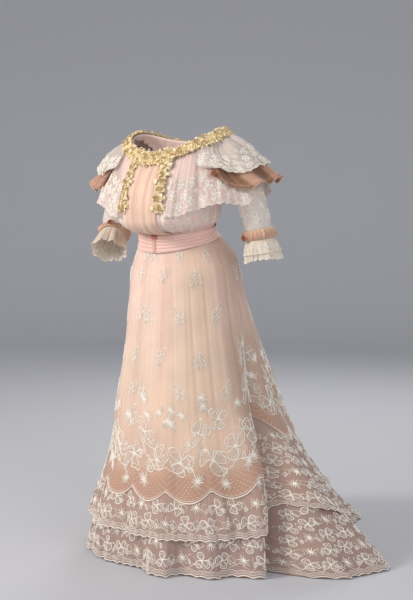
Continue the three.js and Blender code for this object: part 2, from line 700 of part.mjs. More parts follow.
// The pleated girdle covers the join of bodice and skirt. Its face follows the skirt below the
// waistline and the bodice above it.
function girdleFace(angle, share, out) {
  const waist = waistHeight(angle);
  const towardsFront = (0.5 + 0.5 * Math.cos(rad(angle))) ** 3;
  const half = THREE.MathUtils.lerp(GIRDLE.backHalf, GIRDLE.frontHalf, towardsFront);
  const z = waist + half * share;
  const dir = point(Math.sin(rad(angle)), -Math.cos(rad(angle)), 0);
  const top = waist - 1;
  const [high, low] = [top, 0.955 * top].map((level) => skirtRadius(angle, level / waist) + SEAM + SILK);
  const skirt = high + ((low - high) * (top - z)) / (0.045 * top);
  const [inner, next] = [0, 0.08].map((up) => {
    const p = bodicePoint(angle, up);
    return Math.hypot(p.x, p.y);
  });
  const bodice = inner + ((next - inner) * (z - waist)) / (half + 3);
  return dir.multiplyScalar((share < 0 ? Math.max(skirt, inner) : Math.max(high, bodice)) + out).setZ(z);
}
function girdlePiece() {
  const shares = [1, 0.6, 0.2, -0.2, -0.6, -1];
  const face = (thick) =>
    Array.from({ length: GIRDLE.columns }, (_, i) =>
      shares.map((share, k) => {
        const pleat = thick && k % 2 ? GIRDLE.tuck : 0;
        return girdleFace((360 * i) / GIRDLE.columns, share, GIRDLE.stand + thick + pleat);
      }),
    );
  return wallGeometry(face(CLOTH), face(0), true);
}

// The knot at the centre front, and the gathers it draws down the girdle.
function knotPiece() {
  const rows = [
    { share: 1.02, half: 4.2, stand: 5 },
    { share: 0.78, half: 5.2, stand: 9 },
    { share: 0.5, half: 3.4, stand: 5 },
    { share: 0, half: 2.6, stand: 3.4 },
    { share: -0.9, half: 3, stand: 3 },
  ];
  const base = GIRDLE.stand + CLOTH + GIRDLE.tuck + SEAM * 2;
  const face = (outer) =>
    [-1, -0.5, 0.5, 1].map((across) =>
      rows.map((row) =>
        girdleFace(row.half * across, row.share, base + (outer ? CLOTH + row.stand * (1 - across ** 2) : 0)),
      ),
    );
  return wallGeometry(face(true), face(false), false);
}

// A rosette: a ruffled dome of cloth about a centre, facing a direction.
function rosettePiece(centre, facing, radius, height) {
  const out = facing.clone().normalize();
  const side = out.clone().cross(point(0, 0, 1)).normalize();
  const up = side.clone().cross(out);
  const n = ROSETTE.petals * 2;
  const position = [];
  const index = [];
  const ring = (share, rise) => {
    for (let i = 0; i < n; i++) {
      const angle = (2 * Math.PI * i) / n;
      const reach = radius * share * (i % 2 ? 0.84 : 1);
      const p = centre
        .clone()
        .addScaledVector(side, reach * Math.cos(angle))
        .addScaledVector(up, reach * Math.sin(angle))
        .addScaledVector(out, height * rise);
      position.push(p.x, p.y, p.z);
    }
  };
  ring(1, 0);
  ROSETTE.rings.forEach((share, k) => ring(share, ROSETTE.rise[k]));
  const rings = ROSETTE.rings.length;
  for (let k = 0; k < rings; k++) {
    for (let i = 0; i < n; i++) {
      const a = k * n + i;
      const b = k * n + ((i + 1) % n);
      index.push(a, b, b + n, a, b + n, a + n);
    }
  }
  for (let i = 1; i < n - 1; i++) index.push(0, i + 1, i, rings * n, rings * n + i, rings * n + i + 1);
  return facingOut(position, index);
}

// ---- Assembly ----

const dress = new THREE.Group();
dress.position.z = -SHOULDER_HEIGHT;

const colours = {
  silk: { color: 0xe3c9a9, roughness: 0.45 },
  net: { color: 0xf0ddd0, roughness: 0.8 },
  lace: { color: 0xf1e6dc, roughness: 0.85 },
  chiffon: { color: 0xd9a08c, roughness: 0.7 },
  coral: { color: 0xc4795c, roughness: 0.75 },
  ribbon: { color: 0xd8bf86, roughness: 0.4 },
};
const materials = {};
for (const [name, look] of Object.entries(colours)) {
  materials[name] = new THREE.MeshStandardMaterial({ ...look, metalness: 0, name });
}

function add(name, geometry, material) {
  const mesh = new THREE.Mesh(geometry, materials[material]);
  mesh.name = name;
  dress.add(mesh);
  return mesh;
}

// Cuts a piece where another solid passes through it.
function cutBy(geometry, cutter) {
  const solid = (g) =>
    new wasm.Manifold(
      new wasm.Mesh({
        numProp: 3,
        vertProperties: new Float32Array(g.getAttribute("position").array),
        triVerts: new Uint32Array(g.index.array),
      }),
    );
  const left = solid(geometry).subtract(solid(cutter)).getMesh();
  return new THREE.BufferGeometry()
    .setAttribute("position", new THREE.Float32BufferAttribute(left.vertProperties, 3))
    .setIndex([...left.triVerts]);
}

// A solid rod along the start of an arm, a seam's clearance wider than the sleeve.
function armholeCutter(arm) {
  const n = SLEEVE.columns;
  const shares = [0, 0.07, 0.14, 0.22, 0.3, 0.4, 0.5];
  const position = shares.flatMap((share) =>
    Array.from({ length: n }, (_, i) => arm.at(share, (2 * Math.PI * i) / n, SEAM * 3).toArray()).flat(),
  );
  const index = [];
  const end = (shares.length - 1) * n;
  for (let k = 0; k < shares.length - 1; k++) {
    for (let i = 0; i < n; i++) {
      const a = k * n + i;
      const b = k * n + ((i + 1) % n);
      index.push(a, b, b + n, a, b + n, a + n);
    }
  }
  for (let i = 1; i < n - 1; i++) index.push(0, i + 1, i, end, end + i, end + i + 1);
  return facingOut(position, index);
}

function addSkirt() {
  const seam = wayShare(SIDE_SEAMS.left);
  for (const [name, from, to] of [["front", 0, seam], ["train", seam, 1]]) {
    add(`underskirt_${name}`, skirtPiece("silk", from, to, ROW.waist, ROW.floor), "silk");
    add(`overskirt_${name}`, skirtPiece("net", from, to, ROW.waist, ROW.scallop), "net");
    add(`upper_flounce_${name}`, skirtPiece("upper", from, to, ROW.upperHead, ROW.upperHem), "lace");
    add(`lower_flounce_${name}`, skirtPiece("lower", from, to, ROW.lowerHead, ROW.floor), "lace");
  }
}

function addBodice() {
  const cut = (g) => cutBy(cutBy(g, armholeCutter(arms.left)), armholeCutter(arms.right));
  add("bodice_front", cut(bodicePiece(-90, 90)), "lace");
  add("bodice_back", cut(bodicePiece(90, 270)), "lace");
  add("front_panel", panelPiece(), "chiffon");
  add("ribbon_trim_left", trimPiece(1), "ribbon");
  add("ribbon_trim_right", trimPiece(-1), "ribbon");
  add("girdle", girdlePiece(), "coral");
  add("girdle_knot", knotPiece(), "coral");
}

function addSleeves() {
  for (const [side, arm] of Object.entries(arms)) {
    add(`sleeve_${side}`, sleevePiece(arm), "lace");
    add(`sleeve_band_${side}`, bandPiece(arm), "coral");
    add(`cuff_ruffle_${side}`, cuffPiece(arm), "lace");
    const share = (BAND.from + BAND.to) / 2;
    const round = ((side === "left" ? 5 : -5) * 2 * Math.PI) / SLEEVE.columns;
    const seat = arm.at(share, round, BAND.puff + CLOTH + 3 * SEAM);
    const facing = seat.clone().sub(arm.line.getPoint(share));
    add(`sleeve_rosette_${side}`, rosettePiece(seat, facing, 12, 7), "coral");
  }
}

function addCollar() {
  const { bertha, ruffle, cap, columns } = COLLAR;
  add("bertha_left", berthaPiece(bertha.first, bertha.last), "lace");
  add("bertha_right", berthaPiece(columns - bertha.last, columns - bertha.first), "lace");
  for (const [name, side] of [["left", 1], ["right", -1]]) {
    const chiffon = shoulderPiece(ruffle, RUFFLE_HEM, side, ruffleOut, COLLAR.wave.ruffle);
    add(`shoulder_ruffle_${name}`, chiffon, "coral");
    const lace = shoulderPiece(cap, CAP_HEM, side, capOut, COLLAR.wave.cap);
    add(`shoulder_cap_${name}`, lace, "lace");
  }
  add("neck_ruche", ruchePiece(), "ribbon");
  // The rosette sits where the left ruffle's front edge meets the bertha.
  const [seat, above] = [2.5 * SEAM, 10].map((high) => {
    const raised = (i, k) => ruffleOut(i, k) + high;
    const [edge, next] = collarRun(ruffle.first, ruffle.first + 1, ruffle.rows, raised);
    return edge[ruffle.rows - 1].lerp(next[ruffle.rows - 1], 0.2);
  });
  add("collar_rosette", rosettePiece(seat, above.sub(seat), 13, 8), "coral");
}

addSkirt();
addBodice();
addSleeves();
addCollar();

export default dress;
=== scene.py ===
"""Looks of the evening dress: the silk, net, lace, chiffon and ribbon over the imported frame.
Tables and functions work in millimetres above the floor; sheet_mesh turns them into metres in the
part's frame, whose origin is between the shoulders. Angles are in degrees, seen from above, from
the centre front (0) round by the wearer's left side (90), the back (180) and her right (270)."""
import math

import bpy
import numpy as np
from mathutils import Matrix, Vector


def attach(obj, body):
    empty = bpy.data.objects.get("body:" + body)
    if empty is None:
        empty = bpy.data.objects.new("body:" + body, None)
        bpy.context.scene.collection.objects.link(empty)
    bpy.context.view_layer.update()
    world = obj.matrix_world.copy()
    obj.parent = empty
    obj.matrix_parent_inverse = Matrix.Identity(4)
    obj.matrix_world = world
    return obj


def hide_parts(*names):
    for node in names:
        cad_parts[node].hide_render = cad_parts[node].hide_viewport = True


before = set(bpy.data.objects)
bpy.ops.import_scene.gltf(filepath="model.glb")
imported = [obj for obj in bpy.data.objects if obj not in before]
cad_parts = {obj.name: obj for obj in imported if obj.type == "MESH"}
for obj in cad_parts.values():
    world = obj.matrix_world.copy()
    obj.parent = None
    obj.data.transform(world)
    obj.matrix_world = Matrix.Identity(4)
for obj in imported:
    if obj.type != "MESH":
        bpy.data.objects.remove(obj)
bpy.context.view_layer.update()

# ---- Driving dimensions, as in the part's source ----

SHOULDER_HEIGHT = 1310
WAIST_HEIGHT = 1001
WAIST_DIP = 29
SILK = 2.4
CLOTH = 1.6
SEAM = 0.3
HEM_SHARE = 0.72
RIGHT_SEAM = -98

SKIRT_SECTIONS = dict(
    columns=("height", "front", "front_left", "left", "back_left", "back",
             "back_right", "right", "front_right"),
    rows=[
        (1.0, 106, 110, 118, 108, 98, 108, 116, 112),
        (0.95, 118, 128, 150, 160, 148, 142, 140, 128),
        (0.9, 130, 144, 176, 190, 184, 166, 156, 144),
        (0.82, 140, 158, 190, 206, 212, 182, 166, 149),
        (0.66, 158, 184, 220, 256, 282, 216, 184, 163),
        (0.5, 180, 214, 258, 316, 370, 262, 206, 189),
        (0.35, 202, 250, 300, 360, 470, 324, 228, 208),
        (0.2, 224, 288, 336, 408, 592, 412, 262, 238),
        (0.1, 238, 310, 352, 460, 704, 484, 286, 254),
        (0.0, 246, 326, 364, 512, 838, 566, 304, 260),
    ],
)
SKIRT_FOLDS = dict(
    columns=("at", "wide", "deep", "top", "lean"),
    rows=[
        (101, 23, 262, 0.48, 16), (79.5, 5, -112, 0.94, 42), (70, 5, 18, 0.7, 30),
        (56, 6, 10, 0.5, 0), (40, 6, -12, 0.62, 0), (27, 7, 10, 0.8, 0),
        (11, 7, -6, 0.6, 0), (-8, 8, -12, 0.5, 0), (-27, 7, 9, 0.6, 0),
        (-46, 6, -14, 0.4, 0), (-62, 8, 16, 0.4, 0), (-84, 8, -16, 0.6, 0),
        (133, 7, 18, 0.7, 0), (148, 6, -26, 0.9, 8), (163, 6, 22, 0.8, 6),
        (180, 6, -32, 0.95, 0), (198, 6, 26, 0.8, -6), (214, 6, -26, 0.9, -8),
        (232, 7, 20, 0.7, 0), (250, 7, -14, 0.6, 0),
    ],
)
# Fine creases: direction, half width, depth, and the shares of the height they run between.
SKIRT_CREASES = dict(
    columns=("at", "wide", "deep", "low", "high"),
    rows=[
        (-70, 2.4, -3.0, 0.1, 0.95), (-52, 1.8, 2.2, 0.3, 0.98), (-36, 2.2, -2.6, 0.0, 0.8),
        (-20, 1.6, -1.8, 0.35, 0.97), (-13, 1.8, 1.8, 0.1, 0.7), (3, 1.5, -2.0, 0.3, 0.98),
        (17, 1.8, 2.4, 0.05, 0.9), (22, 1.3, -2.0, 0.4, 0.98), (33, 1.7, -3.0, 0.1, 0.97),
        (47, 1.5, 2.6, 0.2, 0.95), (52, 1.6, -3.2, 0.05, 0.97), (63, 1.6, -3.4, 0.1, 0.97),
        (75, 1.6, 3.0, 0.3, 0.98), (92, 2.0, -4.0, 0.4, 0.98), (108, 2.4, 4.0, 0.3, 0.98),
        (122, 2.4, -5.0, 0.15, 0.98), (140, 2.2, 5.0, 0.3, 0.98), (156, 2.0, -5.0, 0.2, 0.98),
        (171, 2.0, 5.0, 0.4, 0.99), (189, 2.0, 5.0, 0.4, 0.99), (205, 2.0, -5.0, 0.2, 0.98),
        (222, 2.2, 5.0, 0.3, 0.98), (240, 2.4, -4.0, 0.15, 0.98), (256, 2.4, 3.0, 0.4, 0.98),
    ],
)
TIER_HEIGHTS = dict(
    columns=("at", "scallop", "upper_hem"),
    rows=[
        (0, 214, 98), (45, 218, 100), (72, 236, 110), (82, 258, 124), (90, 300, 190),
        (98, 424, 178), (108, 392, 148), (130, 366, 134), (180, 338, 128), (225, 326, 130),
        (265, 280, 122), (305, 236, 108), (335, 216, 100), (360, 214, 98),
    ],
)
SCALLOPS = dict(count=17, swing=34)
HEADING = dict(upper=60, lower=34)
FLUTES = dict(count=18, upper=13, lower=24, silk=7)

BODICE_SECTIONS = dict(
    columns=("up", "front", "side", "back", "square", "low", "level", "high"),
    rows=[
        (0.0, 116, 121, 102, 0, 973, 1002, 1031),
        (0.08, 118, 123, 103, 0.01, 1002, 1027, 1052),
        (0.2, 160, 139, 103, 0.07, 1012, 1038, 1064),
        (0.32, 185, 149, 101, 0.12, 1040, 1062, 1084),
        (0.45, 188, 154, 104, 0.12, 1082, 1100, 1116),
        (0.62, 176, 162, 110, 0.07, 1140, 1158, 1162),
        (0.8, 150, 178, 112, 0.03, 1192, 1230, 1216),
        (0.92, 126, 178, 103, 0, 1226, 1288, 1262),
        (1.0, 108, 154, 86, 0, 1250, 1318, 1294),
    ],
)
SLEEVE_STATIONS = {
    "left": [
        (150, 8, 1254, 55), (203, 12, 1212, 54), (238, 18, 1158, 49), (259, 26, 1106, 44),
        (271, 34, 1056, 43), (280, 40, 1004, 43), (283, 42, 982, 42),
    ],
    "right": [
        (-150, 8, 1254, 55), (-203, 12, 1212, 54), (-236, 16, 1152, 49), (-256, 20, 1096, 45),
        (-264, 16, 1046, 44), (-261, 2, 1008, 43), (-256, -12, 990, 42),
    ],
}
SLEEVE_START = 0.14
BAND = dict(start=0.78, end=0.95, puff=7, columns=144, rows=20)
CUFF = dict(columns=240, rows=26, waves=8, length=58, flare=9, ripple=3.2)
HEMS = {
    "bertha": [
        (30, 82, -188, 1054), (45, 132, -164, 1060), (60, 192, -122, 1084), (72, 246, -82, 1096),
        (84, 288, -36, 1092), (97, 304, 26, 1164), (115, 282, 92, 1130), (145, 150, 140, 1102),
        (180, 0, 136, 1094),
    ],
    "ruffle": [
        (66, 230, -86, 1166), (74, 270, -68, 1142), (84, 316, -34, 1145), (94, 348, 32, 1168),
        (112, 304, 106, 1166), (132, 214, 136, 1182),
    ],
    "cap": [
        (54, 190, -100, 1206), (64, 228, -80, 1190), (77, 280, -48, 1188), (90, 316, 8, 1210),
        (112, 268, 98, 1216), (138, 178, 130, 1232),
    ],
}
COLLAR = dict(columns=60, band=33, shares=(0.3, 0.55, 0.8, 1.0), out=0.72, down=0.42, wave_steps=4)
TIERS = {
    "bertha": dict(first=5, last=30, rows=6, wave=9),
    "ruffle": dict(first=11, last=22, rows=4, lifts=(0, 0.6, 2, 5), wave=11),
    "cap": dict(first=9, last=23, rows=3, lifts=(0, 1, 5), wave=8),
}
GIRDLE = dict(front_half=27, back_half=18, stand=1.3, tuck=1.6)
# The ruching's rows of rosettes: how far across the band, and how many.
RUCHE = dict(loops=460, fine=12, rosettes=((0.26, 34), (0.72, 36)))
TRIM = dict(x=62, half=10.5, start=0.4, end=0.87, loops=90, clump=15)
PANEL = dict(half=49, pleats=15, pleat=2.6)


# ---- Interpolation ----

def through(table, key, column):
    """A smooth curve through a table's rows, without overshoot: column over key."""
    k, c = table["columns"].index(key), table["columns"].index(column)
    rows = sorted(table["rows"], key=lambda row: row[k])
    return hermite([row[k] for row in rows], [row[c] for row in rows])


def hermite(xs, ys):
    xs, ys = np.array(xs, float), np.array(ys, float)
    rise = np.diff(ys) / np.diff(xs)
    slope = np.zeros(len(xs))
    slope[0], slope[-1] = rise[0], rise[-1]
    same = rise[:-1] * rise[1:] > 0
    total = np.where(same, rise[:-1] + rise[1:], 1)
    slope[1:-1] = np.where(same, 2 * rise[:-1] * rise[1:] / total, 0)

    def curve(x):
        x = np.asarray(x, float)
        i = np.clip(np.searchsorted(xs, x) - 1, 0, len(xs) - 2)
        width = xs[i + 1] - xs[i]
        t = np.clip((x - xs[i]) / width, 0, 1)
        return (
            ys[i] * (1 + 2 * t) * (1 - t) ** 2
            + slope[i] * width * t * (1 - t) ** 2
            + ys[i + 1] * t * t * (3 - 2 * t)
            - slope[i + 1] * width * t * t * (1 - t)
        )

    return curve


def round_turn(values, angle):
    """Equally spaced values round a full turn (the first axis of values), at angles."""
    n = len(values)
    at = (angle / 360 * n) % n
    i = np.floor(at).astype(int) % n
    t = at - np.floor(at)
    a, b, c, d = (np.take_along_axis(values, ((i + k) % n)[None], 0)[0] for k in (-1, 0, 1, 2))
    return b + 0.5 * t * (c - a + t * (2 * a - 5 * b + 4 * c - d + t * (3 * (b - c) + d - a)))


def turn(a, b):
    """The signed difference between two angles, from -180 to 180 degrees."""
    return (a - b + 180) % 360 - 180


def refine(grid, at, ring=False):
    """A grid's first axis resampled at fractional positions, by a Catmull-Rom spline."""
    n = len(grid)
    if ring:
        i = np.floor(at).astype(int)
        rows = [grid[(i + k) % n] for k in (-1, 0, 1, 2)]
    else:
        i = np.clip(np.floor(at).astype(int), 0, n - 2)
        longer = np.concatenate([2 * grid[:1] - grid[1:2], grid, 2 * grid[-1:] - grid[-2:-1]])
        rows = [longer[i + k + 1] for k in (-1, 0, 1, 2)]
    t = (at - i).reshape(-1, *[1] * (grid.ndim - 1))
    a, b, c, d = rows
    return b + 0.5 * t * (c - a + t * (2 * a - 5 * b + 4 * c - d + t * (3 * (b - c) + d - a)))


def steps(first, last, count):
    return np.linspace(first, last, count + 1)


def smooth(x):
    x = np.clip(x, 0, 1)
    return x * x * (3 - 2 * x)


def uneven(x, seed, octaves=3):
    """A smooth uneven wave of x, between about -1 and 1, the same every run."""
    total = 0
    for k in range(octaves):
        total = total + np.sin(x * (1 + 0.73 * k) + seed * 1.7 + 2.1 * k) / (1 + k)
    return total / 1.6


def unit(v):
    return v / np.maximum(np.linalg.norm(v, axis=-1, keepdims=True), 1e-9)


def colour(r, g, b):
    """An sRGB colour, as the linear one that a mesh and a shader hold."""
    c = np.array([r, g, b], float)
    return np.where(c <= 0.04045, c / 12.92, ((c + 0.055) / 1.055) ** 2.4)


# ---- Skirt ----

skirt_curves = [through(SKIRT_SECTIONS, "height", name) for name in SKIRT_SECTIONS["columns"][1:]]
scallop_height = through(TIER_HEIGHTS, "at", "scallop")
upper_hem_height = through(TIER_HEIGHTS, "at", "upper_hem")


def waist_height(angle):
    return WAIST_HEIGHT - WAIST_DIP * np.cos(np.radians(angle))


def skirt_radius(angle, height):
    angle, height = np.broadcast_arrays(np.asarray(angle, float), np.asarray(height, float))
    radius = round_turn(np.stack([curve(height) for curve in skirt_curves]), angle)
    for at, wide, deep, top, lean in SKIRT_FOLDS["rows"]:
        grown = np.maximum(0, (top - height) / top) ** 1.25
        radius = radius + deep * grown * np.exp(-((turn(angle, at + lean * height) / wide) ** 2))
    return radius


def skirt_creases(angle, height):
    out = 0
    for at, wide, deep, low, high in SKIRT_CREASES["rows"]:
        run = smooth((height - low) / 0.15) * smooth((high - height) / 0.2)
        drift = at + 3 * np.sin(2.2 * height + at)
        out = out + deep * run * np.exp(-((turn(angle, drift) / wide) ** 2))
    return out * np.where(np.abs(turn(angle, 0)) < 80, 0.6, 1.0)


way_angles = RIGHT_SEAM + np.arange(721) / 2
way_shares = np.concatenate([[0], np.cumsum(
    (1 - HEM_SHARE) * 300 + HEM_SHARE * skirt_radius(way_angles[:-1] + 0.25, 0))])
way_shares /= way_shares[-1]


def way_angle(share):
    return np.interp(share, way_shares, way_angles)


def way_share(angle):
    return np.interp(RIGHT_SEAM + (angle - RIGHT_SEAM) % 360, way_angles, way_shares)


def scallop_edge(share):
    lobe = 0.6 - np.abs(np.sin(np.pi * SCALLOPS["count"] * share))
    return scallop_height(way_angle(share) % 360) + SCALLOPS["swing"] * lobe


def flute(share, shift):
    wander = 1.3 * np.sin(6 * np.pi * share)
    return 0.5 + 0.5 * np.cos(2 * np.pi * (FLUTES["count"] * share + shift) + wander)


def slant(angle, height):
    slope = (skirt_radius(angle + 1, height) - skirt_radius(angle - 1, height)) / np.radians(2)
    return np.minimum(2.6, np.hypot(1, slope / skirt_radius(angle, height)))


def skirt_stand(name, share, angle, z, layer):
    """How far a layer's outer face stands out from the silk's smooth face."""
    hem, edge = upper_hem_height(angle % 360), scallop_edge(share)
    silk = FLUTES["silk"] * flute(share, 0.3) * np.clip(1 - z / hem, 0, 1)
    if name == "silk":
        return silk
    head = hem + HEADING["lower"]
    lower_open = np.where(z < hem, 1 - 0.55 * z / hem, 0.45 * np.clip((head - z) / HEADING["lower"], 0, 1))
    lower = layer + lower_open * FLUTES["lower"] * flute(share, 0) + silk
    if name == "lower":
        return lower
    low = np.clip((edge - z) / (edge - head), 0, 1)
    top = edge + HEADING["upper"]
    upper_open = np.where(z > edge, 0.25 * np.clip((top - z) / HEADING["upper"], 0, 1), 0.25 + 0.4 * low)
    upper_open = upper_open + 0.35 * np.clip((head - z) / HEADING["lower"], 0, 1)
    upper = low * lower + layer + upper_open * FLUTES["upper"] * flute(share, 0.5)
    if name == "upper":
        return upper
    joined = smooth((top + 120 - z) / 120)
    return joined * upper + layer


def skirt_points(name, share, z, lift=0.0):
    angle = way_angle(share)
    height = z / waist_height(angle)
    thick = slant(angle, height)
    stand = skirt_stand(name, share, angle, z, (SEAM + SILK) * thick)
    radius = skirt_radius(angle, height) + stand + lift - 0.5 * SILK * thick
    radius = radius + skirt_creases(angle, height)
    a = np.radians(angle)
    return np.stack([radius * np.sin(a), -radius * np.cos(a), z + 0 * a], -1)


# ---- Meshes ----

collection = bpy.context.scene.collection


def metres(points):
    return (np.asarray(points, float) - [0, 0, SHOULDER_HEIGHT]) * 0.001


def new_piece(name, vertices, faces, material, uv=None, tint=None):
    """A mesh object from points in millimetres, with a cloth UV in metres and a colour a point."""
    mesh = bpy.data.meshes.new(name)
    mesh.from_pydata(metres(vertices).tolist(), [], [tuple(f) for f in faces])
    corner = np.empty(len(mesh.loops), dtype=np.int32)
    mesh.loops.foreach_get("vertex_index", corner)
    if uv is not None:
        layer = mesh.uv_layers.new(name="cloth")
        layer.data.foreach_set("uv", np.asarray(uv, np.float32)[corner].ravel())
    if tint is not None:
        attribute = mesh.color_attributes.new("tint", "FLOAT_COLOR", "POINT")
        attribute.data.foreach_set("color", np.asarray(tint, np.float32).ravel())
    mesh.polygons.foreach_set("use_smooth", np.ones(len(mesh.polygons), dtype=bool))
    mesh.materials.append(material)
    mesh.update()
    piece = bpy.data.objects.new(name, mesh)
    collection.objects.link(piece)
    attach(piece, "root")
    return piece


def grid_faces(columns, rows, ring):
    i = np.arange(columns if ring else columns - 1)[:, None]
    j = np.arange(rows - 1)[None, :]
    a, b = i * rows + j, (i + 1) % columns * rows + j
    return np.stack([a, a + 1, b + 1, b], -1).reshape(-1, 4).tolist()


def grid_uv(points, ring):
    """Lengths along the cloth in metres: round it at its middle row, and down each column."""
    middle = points[:, points.shape[1] // 2]
    along = np.concatenate([[0], np.cumsum(np.linalg.norm(np.diff(middle, axis=0), axis=1))])
    down = np.linalg.norm(np.diff(points, axis=1), axis=2)
    down = np.concatenate([np.zeros((len(points), 1)), np.cumsum(down, axis=1)], axis=1)
    return np.stack([np.broadcast_to(along[:, None], down.shape), down], -1) * 0.001


def rgba(tint, cover, shape):
    """One colour and cover a point, from a colour or an array of them."""
    out = np.ones((*shape, 4))
    out[..., :3] = tint
    out[..., 3] = cover
    return out


def sheet_mesh(name, points, material, ring=False, tint=(1, 1, 1), cover=1.0, thick=0.0):
    """A sheet of cloth from a grid of points, [column][row][xyz]."""
    columns, rows = points.shape[:2]
    piece = new_piece(
        name,
        points.reshape(-1, 3),
        grid_faces(columns, rows, ring),
        material,
        grid_uv(points, ring).reshape(-1, 2),
        rgba(tint, cover, (columns, rows)).reshape(-1, 4),
    )
    if thick:
        wall = piece.modifiers.new("cloth", "SOLIDIFY")
        wall.thickness = thick * 0.001
        wall.offset = 0
    return piece


def normals(points, ring):
    """Outward unit normals of a grid."""
    if ring:
        along = np.roll(points, -1, 0) - np.roll(points, 1, 0)
    else:
        along = np.gradient(points, axis=0)
    return unit(np.cross(np.gradient(points, axis=1), along))


def declare(piece, with_pieces=(), deep=None):
    """Works out a piece's depth from its heights when none is given; nothing else is done with the piece.
    Says that a piece is a sheet, cut to its depth, and in length to its area with some slack.
    """
    if deep is None:
        heights = [p.co[2] for p in piece.data.vertices]
        deep = max(0.02, max(heights) - min(heights))


# ---- Materials ----

def node(tree, kind, **settings):
    made = tree.nodes.new(kind)
    for name, value in settings.items():
        setattr(made, name, value)
    return made


def wire(tree, pairs):
    for source, target in pairs:
        tree.links.new(source, target)


def ramp(tree, low, high, low_value, high_value):
    made = node(tree, "ShaderNodeMapRange", clamp=True)
    sockets = ("From Min", "From Max", "To Min", "To Max")
    for socket, value in zip(sockets, (low, high, low_value, high_value)):
        made.inputs[socket].default_value = value
    return made


def maths(tree, operation, a, b):
    made = node(tree, "ShaderNodeMath", operation=operation)
    for socket, value in zip(made.inputs, (a, b)):
        if isinstance(value, (int, float)):
            socket.default_value = value
        else:
            tree.links.new(value, socket)
    return made.outputs[0]


def fabric(name, roughness, sheen, pitch, bump=0.25, crinkle=0.3, crinkle_scale=60, net=0.0, mesh_cover=0.85,
           variation=0.07):
    """A woven cloth. pitch is its thread spacing in millimetres; crinkle is a soft uneven bump.
    A sheer cloth's net is its mesh spacing in millimetres; its cover comes from the colour's alpha."""
    material = bpy.data.materials.new(name)
    material.use_nodes = True
    tree = material.node_tree
    shader = tree.nodes["Principled BSDF"]
    shader.inputs["Roughness"].default_value = roughness
    shader.inputs["Sheen Weight"].default_value = sheen
    shader.inputs["Sheen Roughness"].default_value = 0.4
    shader.inputs["Specular IOR Level"].default_value = 0.25
    cloth = node(tree, "ShaderNodeUVMap", uv_map="cloth")
    tint = node(tree, "ShaderNodeAttribute", attribute_name="tint")
    waves = []
    for direction in ("X", "Y"):
        wave = node(tree, "ShaderNodeTexWave", wave_type="BANDS", bands_direction=direction)
        wave.inputs["Scale"].default_value = 2 * math.pi / (20 * pitch * 0.001)
        wave.inputs["Distortion"].default_value = 0.6
        wave.inputs["Detail Scale"].default_value = 0.5
        wire(tree, [(cloth.outputs["UV"], wave.inputs["Vector"])])
        waves.append(wave.outputs["Fac"])
    weave = maths(tree, "MULTIPLY", maths(tree, "ADD", waves[0], waves[1]), 0.5)
    soft = node(tree, "ShaderNodeTexNoise")
    soft.inputs["Scale"].default_value = crinkle_scale
    soft.inputs["Detail"].default_value = 3
    patch = node(tree, "ShaderNodeTexNoise")
    patch.inputs["Scale"].default_value = 9
    patch.inputs["Detail"].default_value = 2
    wire(tree, [(cloth.outputs["UV"], soft.inputs["Vector"]), (cloth.outputs["UV"], patch.inputs["Vector"])])
    woven = maths(tree, "MULTIPLY", weave, bump)
    crumpled = maths(tree, "MULTIPLY", soft.outputs["Fac"], crinkle)
    height = maths(tree, "ADD", woven, crumpled)
    shade = ramp(tree, 0.3, 0.7, 1 - variation, 1 + variation)
    grain = ramp(tree, 0.0, 1.0, 0.92, 1.05)
    wire(tree, [(patch.outputs["Fac"], shade.inputs["Value"]), (weave, grain.inputs["Value"])])
    tone = maths(tree, "MULTIPLY", shade.outputs["Result"], grain.outputs["Result"])
    coloured = node(tree, "ShaderNodeVectorMath", operation="SCALE")
    relief = node(tree, "ShaderNodeBump")
    relief.inputs["Strength"].default_value = 0.5
    relief.inputs["Distance"].default_value = 0.0012
    wire(tree, [
        (tint.outputs["Color"], coloured.inputs[0]),
        (tone, coloured.inputs["Scale"]),
        (coloured.outputs["Vector"], shader.inputs["Base Color"]),
        (height, relief.inputs["Height"]),
        (relief.outputs["Normal"], shader.inputs["Normal"]),
    ])
    if net:
        mesh = node(tree, "ShaderNodeTexVoronoi", feature="DISTANCE_TO_EDGE")
        mesh.inputs["Scale"].default_value = 1 / (net * 0.001)
        mesh.inputs["Randomness"].default_value = 0.3
        thread = ramp(tree, 0.05, 0.2, 1.0, 0.0)
        wire(tree, [
            (cloth.outputs["UV"], mesh.inputs["Vector"]),
            (mesh.outputs["Distance"], thread.inputs["Value"]),
        ])
        covered = maths(tree, "MULTIPLY", thread.outputs["Result"], mesh_cover)
        filled = maths(tree, "MAXIMUM", covered, tint.outputs["Alpha"])
        wire(tree, [(filled, shader.inputs["Alpha"])])
    return material


silk = fabric("silk", 0.38, 0.25, 0.9, bump=0.12, crinkle=0.35, crinkle_scale=26)
net = fabric("net", 0.75, 0.35, 1.1, bump=0.2, crinkle=0.3, crinkle_scale=40, net=2.6)
lace = fabric("lace", 0.8, 0.35, 1.2, bump=0.35, crinkle=0.3, crinkle_scale=90, net=2.2)
chiffon = fabric("chiffon", 0.62, 0.4, 0.8, bump=0.15, crinkle=0.5, crinkle_scale=120)
ribbon = fabric("ribbon", 0.72, 0.5, 0.7, bump=0.2, crinkle=0.4, crinkle_scale=160)
thread = fabric("thread", 0.6, 0.3, 0.8, bump=0.5, crinkle=0.2, crinkle_scale=300, net=1.6, mesh_cover=0.22,
                variation=0.04)


# ---- Embroidery ----

